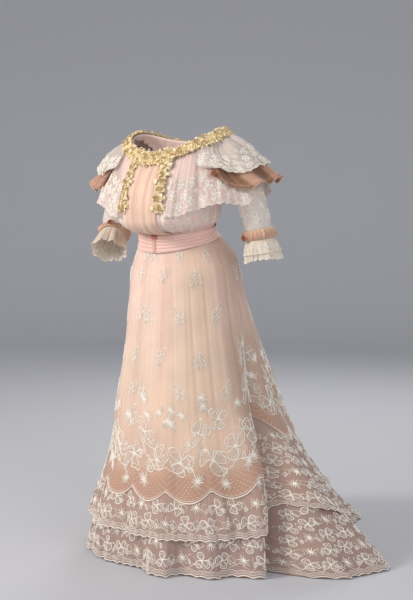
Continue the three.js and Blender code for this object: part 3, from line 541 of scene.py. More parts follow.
class Lay:
    """Places on a grid of cloth: s along it from its first column, v up from its hem."""

    def __init__(self, points, ring, row=-1):
        self.points = np.concatenate([points, points[:1]]) if ring else points
        self.normals = np.concatenate([normals(points, ring)] * 2)[: len(self.points)]
        line = self.points[:, row]
        self.along = np.concatenate([[0], np.cumsum(np.linalg.norm(np.diff(line, axis=0), axis=1))])
        self.length = self.along[-1]
        self.ring = ring
        down = np.linalg.norm(np.diff(self.points, axis=1), axis=2)
        up = np.cumsum(down[:, ::-1], axis=1)[:, ::-1]
        self.up = np.concatenate([up, np.zeros((len(up), 1))], axis=1)

    def stretch(self, s, v):
        """How much wider than at v the cloth is where s is measured, so that a motif keeps its shape."""
        i = int(np.interp(s % self.length, self.along, np.arange(len(self.along))))
        j = int(np.interp(-v, -self.up[i], np.arange(self.up.shape[1])))
        a, b = max(0, i - 3), min(len(self.along) - 1, i + 3)
        wide = np.linalg.norm(self.points[b] - self.points[a], axis=-1)
        return float((self.along[b] - self.along[a]) / wide[j])

    def climb(self, s, height):
        """How far up the cloth a height over the floor is, at s."""
        i = int(np.interp(s % self.length, self.along, np.arange(len(self.along))))
        return float(np.interp(height, self.points[i, ::-1, 2], self.up[i, ::-1]))

    def at(self, s, v, lift):
        if self.ring:
            s = s % self.length
        column = np.interp(s, self.along, np.arange(len(self.along)))
        i = np.clip(np.floor(column).astype(int), 0, len(self.along) - 2)
        t = (column - i)[:, None]
        up = self.up[i] * (1 - t) + self.up[i + 1] * t
        v = np.clip(v, 0, up[:, 0] - 1e-3)
        j = np.clip((up > v[:, None]).sum(1) - 1, 0, up.shape[1] - 2)
        pick = np.arange(len(j))
        high, low = up[pick, j], up[pick, j + 1]
        w = ((high - v) / np.maximum(high - low, 1e-6))[:, None]
        place = [
            (g[i, j] * (1 - w) + g[i, j + 1] * w) * (1 - t)
            + (g[i + 1, j] * (1 - w) + g[i + 1, j + 1] * w) * t
            for g in (self.points, self.normals)
        ]
        return place[0] + unit(place[1]) * lift[:, None]


class Stitches:
    """Raised threads and fills in the plane of a cloth, laid on it all at once."""

    def __init__(self):
        self.vertices, self.faces, self.uv, self.cover, self.count = [], [], [], [], 0
        self.anchor, self.stretch = 0.0, 1.0

    def add(self, plane, lift, uv, faces, cover=1.0):
        plane = np.array(plane)
        plane[:, 0] = self.anchor + (plane[:, 0] - self.anchor) * self.stretch
        self.vertices.append(np.column_stack([plane, lift]))
        self.uv.append(uv)
        self.cover.append(np.full(len(plane), cover))
        self.faces += [[k + self.count for k in f] for f in faces]
        self.count += len(plane)

    def stroke(self, line, width, lift=1.3, closed=False, taper=False):
        line = np.asarray(line, float)
        ahead = np.roll(line, -1, 0) - np.roll(line, 1, 0) if closed else np.gradient(line, axis=0)
        ahead = unit(ahead)
        side = np.stack([-ahead[:, 1], ahead[:, 0]], 1) * width / 2
        n = len(line)
        if taper:
            side = side * np.sin(np.pi * (np.arange(n) + 0.6) / (n + 0.2))[:, None] ** 0.6
        plane = np.concatenate([line + side, line, line - side])
        high = np.concatenate([np.full(n, 0.2), np.full(n, lift), np.full(n, 0.2)])
        far = np.concatenate([[0], np.cumsum(np.linalg.norm(np.diff(line, axis=0), axis=1))])
        uv = np.column_stack([np.tile(far, 3), np.repeat([0, width / 2, width], n)]) * 0.001
        faces = []
        for k in range(n if closed else n - 1):
            m = (k + 1) % n
            faces += [[k, n + k, n + m, m], [n + k, 2 * n + k, 2 * n + m, n + m]]
        self.add(plane, high, uv, faces)

    def fill(self, outline, lift=0.5, cover=0.3):
        """A worked ground of open stitches inside an outline; a cover of 1 is solid."""
        outline = np.asarray(outline, float)
        n = len(outline)
        plane = np.concatenate([outline, outline.mean(0, keepdims=True)])
        high = np.append(np.full(n, 0.2), lift)
        self.add(plane, high, plane * 0.001, [[k, (k + 1) % n, n] for k in range(n)], cover)

    def piece(self, name, lay, tint, slot):
        flat = np.concatenate(self.vertices)
        points = lay.at(flat[:, 0], flat[:, 1], flat[:, 2])
        uv = np.concatenate(self.uv)
        colours = rgba(tint, np.concatenate(self.cover), (len(points),))
        return new_piece(name, points, self.faces, thread, uv, colours)


def placed(shape, s, v, angle, size=1.0):
    c, d = math.cos(math.radians(angle)), math.sin(math.radians(angle))
    shape = np.asarray(shape, float) * size
    return np.column_stack([s + shape[:, 0] * c - shape[:, 1] * d, v + shape[:, 0] * d + shape[:, 1] * c])


def petal(length, width, count=16, frill=0.0):
    """A round petal's outline, narrow at its root at the origin, along the first axis."""
    a = np.linspace(0, 2 * np.pi, count, endpoint=False)
    far = 0.5 - 0.5 * np.cos(a)
    edge = 1 + frill * np.cos(7 * a)
    across = width * 0.56 * np.sin(a) * (0.3 + 0.7 * far**0.6) * edge
    return np.column_stack([length * far**0.8 * edge, across])


def disc(radius, count=8):
    a = np.linspace(0, 2 * np.pi, count, endpoint=False)
    return np.column_stack([radius * np.cos(a), radius * np.sin(a)])


def bend(points, count=10):
    """A smooth line through a few points."""
    points = np.asarray(points, float)
    return refine(points, np.linspace(0, len(points) - 1, count))


def heart(st, s, v, size, angle):
    """The stitched middle of a flower: short straight stitches round a knot."""
    for k in range(5):
        way = angle + 360 * k / 5
        reach = size * (0.8 + 0.2 * math.cos(5 * k + angle))
        st.stroke(placed([(0, 0), (0.5 * reach, 0), (reach, 0)], s, v, way), 1.6, 1.5, taper=True)
    st.fill(placed(disc(0.35 * size, 6), s, v, 0), 1.9, 1.0)


def sprig(st, s, v, size, angle):
    """Four petals on a short stem with one leaf."""
    for k in range(4):
        outline = placed(petal(0.48 * size, 0.5 * size, 14, 0.04), s, v, angle + 90 * k + 45)
        st.fill(outline, cover=0.16)
        st.stroke(outline, 1.7, closed=True)
    heart(st, s, v, 0.15 * size, angle)
    stem = bend([(0, -0.1), (0.12, -0.45), (-0.02, -0.78)], 6)
    st.stroke(placed(stem, s, v, 0, size), 1.4)
    leaf(st, s, v - 0.5 * size, 0.34 * size, 200)


def flower(st, s, v, size, angle, petals=3, cover=0.12):
    """Broad double-edged petals round a stitched middle."""
    wide = 1.75 / petals
    for k in range(petals):
        way = angle + 360 * k / petals
        outer = placed(petal(0.54 * size, wide * size, 15, 0.05), s, v, way)
        st.fill(outer, cover=cover)
        st.stroke(outer, 2.3, closed=True)
        inner = petal(0.4 * size, 0.72 * wide * size, 9)
        st.stroke(placed(inner, s, v, way), 1.2, closed=True)
    heart(st, s, v, 0.2 * size, angle + 20)


def burst(st, s, v, size, angle, rays=16):
    for k in range(rays):
        way = angle + 360 * k / rays
        long = 0.5 * size * (0.8 + 0.2 * math.cos(2.4 * k + angle))
        st.stroke(placed([(0.06 * long, 0), (0.55 * long, 0), (long, 0)], s, v, way), 2.1, 1.5, taper=True)
    st.fill(placed(disc(0.13 * size, 7), s, v, 0), 1.9, 1.0)


def leaf(st, s, v, size, angle):
    a = np.linspace(0, 1, 6)
    half = 0.22 * np.sin(np.pi * a) ** 0.8
    outline = np.concatenate([np.column_stack([a, half]), np.column_stack([a[-2:0:-1], -half[-2:0:-1]])])
    outline = placed(outline, s, v, angle, size)
    st.fill(outline[::-1], cover=0.3)
    st.stroke(outline, 1.4, closed=True)
    st.stroke(placed([(0, 0), (0.5, 0), (0.92, 0)], s, v, angle, size), 1.0)


def tendril(st, s, v, size, angle):
    """A curl that opens from its root."""
    t = np.linspace(0, 1, 10)
    turned = 4.6 * t**1.4
    line = np.column_stack([np.sin(turned) * (1 - 0.6 * t), 1.1 * t + 0.4 * (1 - np.cos(turned))]) * 0.5
    st.stroke(placed(line, s, v, angle, size), 1.3)


def lacework(st, length, low, high, size, seed=0):
    """A lace ground: rows of staggered motifs with leaves and curls between them."""
    rows = max(1, round((high - low) / (0.92 * size)))
    count = max(2, round(length / (1.25 * size)))
    for row in range(rows):
        v = low + (row + 0.5) * (high - low) / rows
        for k in range(count):
            s = (k + 0.25 + 0.5 * (row % 2)) * length / count
            nudge = 0.08 * size * math.sin(3.7 * k + 1.9 * row + seed)
            if (2 * k + row + seed) % 5 == 0:
                burst(st, s, v + nudge, 0.85 * size, 23 * k, 11)
            else:
                flower(st, s, v + nudge, 0.84 * size, 90 + 67 * k + 40 * row, 3 + (k + row) % 2, 0.5)
            tendril(st, s + 0.6 * size, v - 0.2 * size, 0.5 * size, 20 * math.sin(k))
            leaf(st, s + 0.62 * size, v + 0.3 * size + nudge, 0.34 * size, 70 + 80 * (k % 2))


def edging(st, length, v, width, lift=1.4, step=6.0):
    s = np.linspace(0, length, int(length / step) + 1)
    st.stroke(np.column_stack([s, np.full(len(s), v)]), width, lift)


def spots(st, length, low, high, gap, radius):
    """Staggered rows of worked dots."""
    for row, v in enumerate(np.arange(low, high, gap * 0.8)):
        for s in np.arange((row % 2) * gap / 2, length - radius, gap):
            st.fill(placed(disc(radius, 4), s, v, 0), 1.1, 1.0)


def eyelets(st, length, v, gap, radius):
    for s in np.arange(gap / 2, length, gap):
        st.stroke(placed(disc(radius, 6), s, v, 0), 0.9, 0.9, closed=True)


# ---- Skirt pieces ----

# Colours of the skirt by height above the floor, as its silk and net are seen together.
SKIRT_COLOURS = dict(
    columns=("height", "red", "green", "blue"),
    rows=[
        (0, 0.76, 0.64, 0.60), (150, 0.78, 0.66, 0.60), (235, 0.81, 0.67, 0.58), (300, 0.87, 0.75, 0.66),
        (380, 0.91, 0.80, 0.72), (480, 0.94, 0.84, 0.76), (620, 0.97, 0.88, 0.80), (820, 0.98, 0.88, 0.82),
        (1030, 0.98, 0.87, 0.82),
    ],
)
BEIGE = np.array([0.94, 0.84, 0.74])
PINK = np.array([0.90, 0.75, 0.69])
MAUVE = np.array([0.75, 0.64, 0.60])
CORAL = np.array([0.77, 0.60, 0.51])
BROWN = np.array([0.70, 0.57, 0.49])
CREAM = colour(0.98, 0.95, 0.90)
skirt_colour = [through(SKIRT_COLOURS, "height", name) for name in ("red", "green", "blue")]


def mix(a, b, share):
    share = np.asarray(share)[..., None]
    return a * (1 - share) + b * share


def skirt_tint(share, z):
    """The skirt's sRGB colour by height, golden and pink by turns in front, and browner at the side."""
    angle = way_angle(share) + 0 * z
    base = np.stack([curve(z) for curve in skirt_colour], -1)
    gold = np.exp(-((turn(angle, 58) / 26) ** 2)) * smooth((z - 220) / 250)
    base = mix(base, BEIGE, 0.8 * gold)
    pink = np.exp(-((turn(angle, 22) / 8) ** 2)) * smooth((z - 400) / 300) * 0.45
    pink = pink + np.exp(-((turn(angle, -14) / 5) ** 2)) * smooth((z - 300) / 300) * 0.35
    base = mix(base, PINK, np.clip(pink, 0, 1))
    side = smooth((turn(angle, 160) + 86) / 14) * smooth((100 - turn(angle, 160)) / 20)
    base = mix(base, BROWN, 0.55 * side * (1 - 0.5 * smooth((z - 500) / 300)))
    streaks = 1 + 0.018 * uneven(np.radians(angle) * 47, 4.0) * smooth((z - 150) / 200)
    return base * streaks[..., None]


def skirt_share(columns):
    return np.linspace(0, 1, columns, endpoint=False)[:, None]


def underskirt():
    share = skirt_share(360)
    angle = way_angle(share)
    z = (waist_height(angle) - 1) * (1 - steps(0, 1, 40)[None] ** 0.9)
    points = skirt_points("silk", share, z)
    tint = colour_grid(mix(skirt_tint(share, z), PINK, 0.25))
    piece = sheet_mesh("silk_underskirt", points, silk, True, tint)
    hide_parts("underskirt_front", "underskirt_train")
    return piece


def colour_grid(srgb):
    """sRGB values, as the linear ones that a mesh holds."""
    return np.where(srgb <= 0.04045, srgb / 12.92, ((np.maximum(srgb, 0) + 0.055) / 1.055) ** 2.4)


def overskirt():
    share = skirt_share(520)
    angle = way_angle(share)
    top = waist_height(angle) - 1
    base = scallop_height(angle % 360)
    q = steps(0, 1, 56)[None]
    z = top + (base - top) * q + (scallop_edge(share) - base) * smooth((q - 0.82) / 0.18)
    points = skirt_points("net", share, z)
    hem_band = smooth((96 - (z - scallop_edge(share))) / 34)
    tint = colour_grid(mix(skirt_tint(share, z), CORAL, 0.8 * hem_band))
    piece = sheet_mesh("net_overskirt", points, net, True, tint, 0.42 + 0.4 * hem_band)
    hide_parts("overskirt_front", "overskirt_train")
    return piece, points


FLOUNCE_SCALLOPS = dict(count=96, deep=5)


def flounce(name, head, hem, gathers):
    """A flounce's grid; head and hem give its heights at shares of the way round and angles."""
    share = skirt_share(760)
    angle = way_angle(share)
    top, low = head(share, angle), hem(share, angle)
    q = steps(0, 1, 22)[None]
    rise = FLOUNCE_SCALLOPS["deep"] * np.abs(np.sin(np.pi * FLOUNCE_SCALLOPS["count"] * share))
    z = top + (low - top) * q + rise * smooth((q - 0.85) / 0.15)
    folds = flounce_folds(share, 3.0 if name == "upper" else 7.0)
    points = skirt_points(name, share, z, gathers * smooth(1.4 * q) * folds)
    return share, z, points


def flounce_folds(share, seed):
    """Uneven folds that stand out from the layer below, between 0 and about 1.3."""
    phase = 2 * np.pi * 37 * share + 2.2 * np.sin(2 * np.pi * 5 * share + seed)
    phase = phase + 1.2 * np.sin(2 * np.pi * 13 * share)
    deep = 0.65 + 0.35 * np.sin(2 * np.pi * 9 * share + seed)
    fine = 0.5 + 0.5 * np.sin(2 * np.pi * 121 * share + 2 * np.sin(2 * np.pi * 17 * share))
    return deep * (0.5 + 0.5 * np.sin(phase)) ** 1.3 + 0.22 * fine


def upper_flounce():
    share, z, points = flounce(
        "upper",
        lambda s, a: scallop_edge(s) + 40,
        lambda s, a: upper_hem_height(a % 360),
        11,
    )
    tint = colour_grid(0.98 * mix(skirt_tint(share, z), MAUVE, 0.64))
    piece = sheet_mesh("upper_flounce", points, lace, True, tint, 0.62)
    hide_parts("upper_flounce_front", "upper_flounce_train")
    return piece, points


def lower_flounce():
    share, z, points = flounce(
        "lower",
        lambda s, a: upper_hem_height(a % 360) + 30,
        lambda s, a: 0 * a,
        12,
    )
    tint = colour_grid(0.94 * mix(skirt_tint(share, z), MAUVE, 0.78))
    piece = sheet_mesh("lower_flounce", points, lace, True, tint, 0.62)
    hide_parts("lower_flounce_front", "lower_flounce_train")
    return piece, points


# One repeat of the net's floral border: place along and above the edge, size and turn.
BORDER_REPEAT = 236
BORDER_FLOWERS = dict(
    columns=("along", "up", "size", "turn", "petals"),
    rows=[
        (36, 118, 76, 20, 3), (94, 196, 66, -15, 3), (130, 104, 78, 48, 3), (200, 150, 74, 5, 3),
        (164, 244, 56, 30, 3),
    ],
)
BORDER_BURSTS = dict(
    columns=("along", "up", "size"),
    rows=[(8, 214, 42), (82, 60, 50), (154, 46, 42), (226, 74, 50), (112, 284, 46), (40, 262, 36)],
)
BORDER_VINES = [
    [(0, 74), (34, 88), (66, 128), (100, 138), (128, 104), (168, 92), (200, 108), (236, 74)],
    [(34, 118), (50, 156), (92, 172), (120, 198), (172, 214)],
    [(128, 104), (150, 142), (196, 140), (222, 172), (236, 196)],
    [(60, 122), (72, 92), (78, 66)],
    [(166, 92), (158, 74), (150, 60)],
]
BORDER_LEAVES = [(18, 86, 24, 120), (52, 108, 26, -30), (84, 140, 26, 60), (112, 122, 24, 150),
                 (152, 98, 26, -60), (184, 104, 26, 40), (214, 92, 24, 80), (68, 170, 24, 140),
                 (146, 206, 26, 60), (210, 162, 24, -10), (44, 150, 22, 100), (158, 140, 22, 200)]


def border(st, lay):
    """The floral border round the net, in repeats; every other one is mirrored."""
    length = lay.length
    repeats = round(length / BORDER_REPEAT)
    pitch = length / repeats
    for k in range(repeats):
        start, mirrored = k * pitch, k % 2

        def along(s):
            s = s * pitch / BORDER_REPEAT
            return start + (pitch - s if mirrored else s)

        sign = -1 if mirrored else 1
        for line in BORDER_VINES:
            st.stroke(bend([(along(s), v) for s, v in line], 5 * len(line)), 2.0)
        for s, v, size, angle, petals in BORDER_FLOWERS["rows"]:
            st.anchor, st.stretch = along(s), lay.stretch(along(s), v)
            flower(st, along(s), v, size, 90 + sign * angle + 13 * k, petals)
        for s, v, size in BORDER_BURSTS["rows"]:
            st.anchor, st.stretch = along(s), lay.stretch(along(s), v)
            burst(st, along(s), v, size, 17 * k + s)
        st.stretch = 1.0
        for s, v, size, angle in BORDER_LEAVES:
            leaf(st, along(s), v, size, 180 - angle if mirrored else angle)
            tendril(st, along(s + 14), v + 10, size, 40 * math.sin(s + k))


# Rows of sprigs above the border: height over the floor, the angle that a row starts from, and size.
SPRIG_ROWS = dict(
    columns=("height", "start", "size"),
    rows=[(945, 4, 34), (883, -16, 40), (759, 4, 42), (635, -16, 42), (530, 4, 42)],
)
SPRIG_STEP = dict(front=40, train=24, train_from=84, train_to=262)
# Where the cloth is this much narrower than below, it lies in a deep fold.
DEEP_FOLD = 2.6
BURST_ROW = dict(height=468, swing=22, lowest=240, start=-14, step=26, size=40)


def sprig_angles(start):
    angles, angle = [], start - 360
    while angle < start:
        behind = SPRIG_STEP["train_from"] < angle % 360 < SPRIG_STEP["train_to"]
        angles.append(angle)
        angle += SPRIG_STEP["train"] if behind else SPRIG_STEP["front"]
    return angles


def net_embroidery(points):
    lay = Lay(points, True, 45)
    st = Stitches()
    border(st, lay)
    edging(st, lay.length, 3, 3.4, 2.2)
    edging(st, lay.length, 10, 1.4)
    spots(st, lay.length, 16, 84, 11, 1.3)
    for height, start, size in SPRIG_ROWS["rows"]:
        for angle in sprig_angles(start):
            s = float(way_share(angle)) * lay.length
            v = lay.climb(s, height)
            st.anchor, st.stretch = s, lay.stretch(s, v)
            if st.stretch <= DEEP_FOLD:
                sprig(st, s, v, size, 12 * math.sin(angle + height))
    for angle in np.arange(BURST_ROW["start"], 360 + BURST_ROW["start"], BURST_ROW["step"]):
        s = float(way_share(angle)) * lay.length
        v = lay.climb(s, BURST_ROW["height"] + BURST_ROW["swing"] * math.sin(angle))
        v = max(v, BURST_ROW["lowest"])
        st.anchor, st.stretch = s, lay.stretch(s, v)
        burst(st, s, v, BURST_ROW["size"], angle)
    return st.piece("net_embroidery", lay, CREAM, "net")


def flounce_embroidery(name, points, hidden, seed):
    """Flowers, starbursts, leaves and curls over a flounce, and its beaded and scalloped edge."""
    lay = Lay(points, True, 12)
    st = Stitches()
    length = lay.length
    count = round(length / 66)
    pitch = length / count
    for k in range(count):
        deep = lay.up[int((k + 0.5) / count * (len(lay.up) - 1)), 0] - hidden
        for row in range(max(1, round((deep - 22) / 50))):
            s, v = (k + 0.5 + 0.5 * (row % 2)) * pitch, 48 + 50 * row
            if (k + 2 * row + seed) % 3:
                flower(st, s, v, 46, 90 + 61 * k + 25 * row)
            else:
                burst(st, s, v, 44, 23 * k, 12)
            leaf(st, s + 28, v - 18, 20, 60 + 60 * (k % 2))
            tendril(st, s - 34, v - 12, 28, 30 * math.sin(2 * k + row))
            tendril(st, s + 32, v + 12, 26, 180 + 30 * math.sin(k + row))
    wave = np.linspace(0, length, count * 12)
    st.stroke(np.column_stack([wave, 30 + 9 * np.sin(2 * np.pi * wave / length * count)]), 1.5)
    edging(st, length, 2.5, 2.8, 1.8)
    edging(st, length, 9, 1.4)
    edging(st, length, 18, 1.4)
    eyelets(st, length, 13.5, 8, 2.6)
    return st.piece(name, lay, CREAM, "flounce_lace")


# ---- Bodice ----

bodice_curves = [through(BODICE_SECTIONS, "up", name) for name in BODICE_SECTIONS["columns"][1:]]
bodice_side = bodice_curves[1]


def bodice_points(angle, up):
    front, side, back, square, low, level, high = (curve(up) for curve in bodice_curves)
    s, c = np.sin(np.radians(angle)), np.cos(np.radians(angle))
    full = np.where(c > 0, 1 + square * np.sin(2 * np.radians(angle)) ** 2, 1)
    z = level + (low - high) / 2 * c + ((low + high) / 2 - level) * c * c
    return np.stack(np.broadcast_arrays(side * full * s, -np.where(c > 0, front, back) * full * c, z), -1)


def bodice_at(angle, up, out):
    angle, up, out = np.broadcast_arrays(*(np.asarray(x, float) for x in (angle, up, out)))
    high = np.minimum(1, up + 0.01)
    along = bodice_points(angle + 1, up) - bodice_points(angle - 1, up)
    rise = bodice_points(angle, high) - bodice_points(angle, high - 0.02)
    return bodice_points(angle, up) + unit(np.cross(along, rise)) * out[..., None]


def angle_at(x, up):
    return np.degrees(np.arcsin(x / bodice_side(up)))


class Arm:
    """A centripetal spline down an arm, and the sleeve's radius along it."""

    def __init__(self, stations):
        stations = np.array(stations, float)
        self.points = stations[:, :3]
        self.radius = hermite(np.linspace(0, 1, len(stations)), stations[:, 3])

    def centre(self, share):
        p = self.points
        n = len(p)
        at = min(max(share, 0), 1) * (n - 1)
        i = min(int(at), n - 2)
        t = at - i
        before = p[i - 1] if i > 0 else 2 * p[0] - p[1]
        after = p[i + 2] if i + 2 < n else 2 * p[-1] - p[-2]
        x0, x1, x2, x3 = before, p[i], p[i + 1], after
        d0, d1, d2 = (np.linalg.norm(b - a) ** 0.5 for a, b in ((x0, x1), (x1, x2), (x2, x3)))
        m1 = ((x1 - x0) / d0 - (x2 - x0) / (d0 + d1) + (x2 - x1) / d1) * d1
        m2 = ((x2 - x1) / d1 - (x3 - x1) / (d1 + d2) + (x3 - x2) / d2) * d1
        return x1 + m1 * t + (-3 * x1 + 3 * x2 - 2 * m1 - m2) * t**2 + (2 * x1 - 2 * x2 + m1 + m2) * t**3

    def axes(self, share):
        """The centre, the direction down the arm, outwards, and across."""
        share = min(share, 1)
        along = unit(self.centre(min(1, share + 1e-4)) - self.centre(share - 1e-4))
        centre = self.centre(share)
        side = np.array([np.sign(centre[0]), 0, 0])
        side = unit(side - along * side.dot(along))
        return centre, along, side, np.cross(along, side)

    def ring(self, share, angle, out, slide=0.0):
        """Points round the arm at angles in radians, a distance out from its wall."""
        centre, along, side, across = self.axes(share)
        reach = (self.radius(min(share, 1)) + out)[:, None]
        cos, sin = np.cos(angle)[:, None], np.sin(angle)[:, None]
        return centre + side * reach * cos + across * reach * sin + along * slide


arms = {side: Arm(stations) for side, stations in SLEEVE_STATIONS.items()}


def armhole_clear(points):
    """How far points lie outside the rods along the starts of the arms."""
    best = np.full(points.shape[:-1], 1e9)
    for arm in arms.values():
        for share in np.arange(0, 0.5, 0.015):
            centre, along, _, _ = arm.axes(share)
            off = points - centre
            far = off @ along
            off = off - far[..., None] * along
            gap = np.linalg.norm(off, axis=-1) - arm.radius(share) - 3 * SEAM
            best = np.where(np.abs(far) < 8, np.minimum(best, gap), best)
    return best


# ---- Collar ----

hem_curves = {
    name: [hermite([r[0] for r in rows], [r[k] for r in rows]) for k in (1, 2, 3)]
    for name, rows in HEMS.items()
}


def hem_point(name, angle):
    x, y, z = (float(curve(abs(turn(angle, 0)))) for curve in hem_curves[name])
    return np.array([-x if turn(angle, 0) < 0 else x, y, z])


arm_rods = {
    side: [(arm.axes(share), float(arm.radius(share))) for share in np.arange(SLEEVE_START, 1.0001, 0.02)]
    for side, arm in arms.items()
}


def clear_of_body(p, clearance):
    """Moves a point outwards until it clears the bodice and the sleeve on its side."""
    up, angle = 0.6, 0.0
    for _ in range(14):
        depth = float(bodice_curves[0 if p[1] < 0 else 2](up))
        angle = math.degrees(math.atan2(p[0] / float(bodice_side(up)), -p[1] / depth))
        up = min(1, max(0, up + (p[2] - float(bodice_points(angle, up)[2])) / 420))
    skin = bodice_points(angle, up)
    reach = math.hypot(p[0], p[1])
    short = math.hypot(skin[0], skin[1]) + clearance - reach
    if short > 0 and up < 0.95:
        p = p * [1 + short / reach, 1 + short / reach, 1]
    for (centre, along, _, _), radius in arm_rods["left" if p[0] > 0 else "right"]:
        off = p - centre
        far = off @ along
        if abs(far) > 10:
            continue
        off = off - far * along
        lacking = radius + 2 * clearance - np.linalg.norm(off)
        if lacking > 0:
            p = p + unit(off) * lacking
    return p


def collar_line(angle):
    top = bodice_at(angle, 0.992, 0.5)
    if abs(turn(angle, 0)) < (TIERS["bertha"]["first"] - 0.5) * 360 / COLLAR["columns"]:
        return [top, *(bodice_at(angle, 0.88 - 0.1 * share, 0.5) for share in (0, *COLLAR["shares"]))]
    hem = hem_point("bertha", angle)
    bent = top + (hem - top) * [COLLAR["out"], COLLAR["out"], COLLAR["down"]]
    t = np.linspace(0, 1, 201)[:, None]
    curve = (1 - t) ** 2 * top + 2 * t * (1 - t) * bent + t * t * hem
    far = np.concatenate([[0], np.cumsum(np.linalg.norm(np.diff(curve, axis=0), axis=1))])
    band = COLLAR["band"] / far[-1]
    line = [top]
    for k, share in enumerate((0, *COLLAR["shares"])):
        at = (band + (1 - band) * share) * far[-1]
        p = np.array([np.interp(at, far, curve[:, axis]) for axis in range(3)])
        line.append(clear_of_body(p, 1 + 3 * min(1, k)))
    return line


collar = np.array([collar_line(360 * i / COLLAR["columns"]) for i in range(COLLAR["columns"])])
collar_out = normals(collar, True)


def wave(deep, i, share, shift):
    phase = 2 * math.pi * (i + shift) / COLLAR["wave_steps"] + 0.9 * math.sin(0.6 * i)
    return deep * share**1.3 * (0.5 + 0.5 * math.cos(phase))


def bertha_out(i, k):
    return wave(TIERS["bertha"]["wave"], i, k / 5, 0) + CLOTH


def ruffle_out(i, k):
    return bertha_out(i, k) + SEAM + TIERS["ruffle"]["lifts"][k] + CLOTH


def cap_out(i, k):
    return ruffle_out(i, k) + SEAM + TIERS["cap"]["lifts"][k] + CLOTH


TIER_OUT = {"bertha": bertha_out, "ruffle": ruffle_out, "cap": cap_out}


def tier_grid(name, side):
    """A collar piece's middle surface, as the part's source has it: [column][row]."""
    tier, n = TIERS[name], COLLAR["columns"]
    first, last = (tier["first"], tier["last"]) if side > 0 else (n - tier["last"], n - tier["first"])
    grid = []
    for i in range(first, last + 1):
        line = [
            collar[i % n, k] + collar_out[i % n, k] * (TIER_OUT[name](i, k) - CLOTH / 2)
            for k in range(tier["rows"])
        ]
        if name != "bertha":
            hem = hem_point(name, 360 * i / n)
            out = unit(unit(np.array([hem[0] - 150 * side, hem[1] * 0.6, 0])) + [0, 0, 0.3])
            line.append(hem + out * (wave(tier["wave"], i, 1, 2) - CLOTH / 2))
        grid.append(line)
    return np.array(grid), first


def gathers(column, depth, open_folds):
    """Gathers that all the collar's tiers share, so that they nest: fine at the seam, broad at the hem."""
    broad = np.sin(2 * np.pi * column / 2.6 + 1.5 * np.sin(0.8 * column) + 0.5 * depth * np.sin(1.3 * column))
    fine = uneven(column * 4.3, 1.0, 2) + 0.4 * np.sin(column * 9.3 + 0.9 * np.sin(1.7 * column))
    fine_depth = 1.2 + 0.5 * depth + 0.14 * open_folds * depth**3
    return broad * (5.5 * depth**1.4 + open_folds * depth**5) + fine * fine_depth


def tier_surface(name, side, fine, scallop, pitch, open_folds=0.0, lift=0.0):
    """A collar tier's cloth, and how far each point of it stands out in its gathers."""
    grid, first = tier_grid(name, side)
    columns, rows = (grid.shape[0] - 1) * fine, (grid.shape[1] - 1) * 8
    at = steps(0, grid.shape[0] - 1, columns)
    dense = refine(grid, at)
    dense = refine(dense.transpose(1, 0, 2), steps(0, grid.shape[1] - 1, rows)).transpose(1, 0, 2)
    depth = steps(0, 1, rows)[None]
    folds = gathers((first + at)[:, None], depth, open_folds)
    dense = dense + normals(dense, False) * (folds + lift * smooth(2.5 * depth))[..., None]
    hem = dense[:, -1]
    far = np.concatenate([[0], np.cumsum(np.linalg.norm(np.diff(hem, axis=0), axis=1))])
    lobe = np.abs(np.sin(np.pi * far / far[-1] * round(far[-1] / pitch)))[:, None, None]
    down = unit(dense[:, -1] - dense[:, -3])[:, None]
    return dense + down * scallop * (lobe - 0.6) * smooth((depth - 0.8) / 0.2)[..., None], folds


def tier_embroidery(name, points, high, size):
    """Flowers and leaves over a collar tier, above its worked edge."""
    lay = Lay(points, False)
    st = Stitches()
    length = lay.length
    lacework(st, length, 10, high, size)
    edging(st, length, 1.8, 2.2, 1.6)
    edging(st, length, 8, 1.2)
    eyelets(st, length, 4.9, 7, 1.6)
    return st.piece(name, lay, CREAM, "lace")


LACE_WHITE = colour(0.95, 0.90, 0.86)
LACE_PINK = colour(0.96, 0.86, 0.82)
# The shoulder ruffle's coral in painted shade, for the furrows of its gathers, and in painted light, for
# their ridges.
CORAL_PAINTED_SHADE = colour(0.50, 0.36, 0.27)
CORAL_PAINTED_LIGHT = colour(0.74, 0.57, 0.48)
LINING_PINK = colour(0.90, 0.76, 0.70)
PANEL_PINK = colour(0.86, 0.70, 0.64)
PANEL_CREAM = colour(0.91, 0.80, 0.69)
CUFF_LACE = colour(0.95, 0.89, 0.81)
FRILL_LACE = colour(0.96, 0.89, 0.80)
CORAL_EDGE = colour(0.93, 0.78, 0.68)
BAND_CHIFFON = colour(0.80, 0.62, 0.53)
BAND_EDGE = colour(0.88, 0.74, 0.60)
# In the coral rosettes, deep is painted shade for the inner turns; light is the coral at the outer turn.
SLEEVE_ROSETTE = dict(radius=12.5, light=colour(0.86, 0.60, 0.50), deep=colour(0.62, 0.36, 0.28))
COLLAR_ROSETTE = dict(radius=13.5, light=colour(0.84, 0.58, 0.48), deep=colour(0.60, 0.33, 0.26))


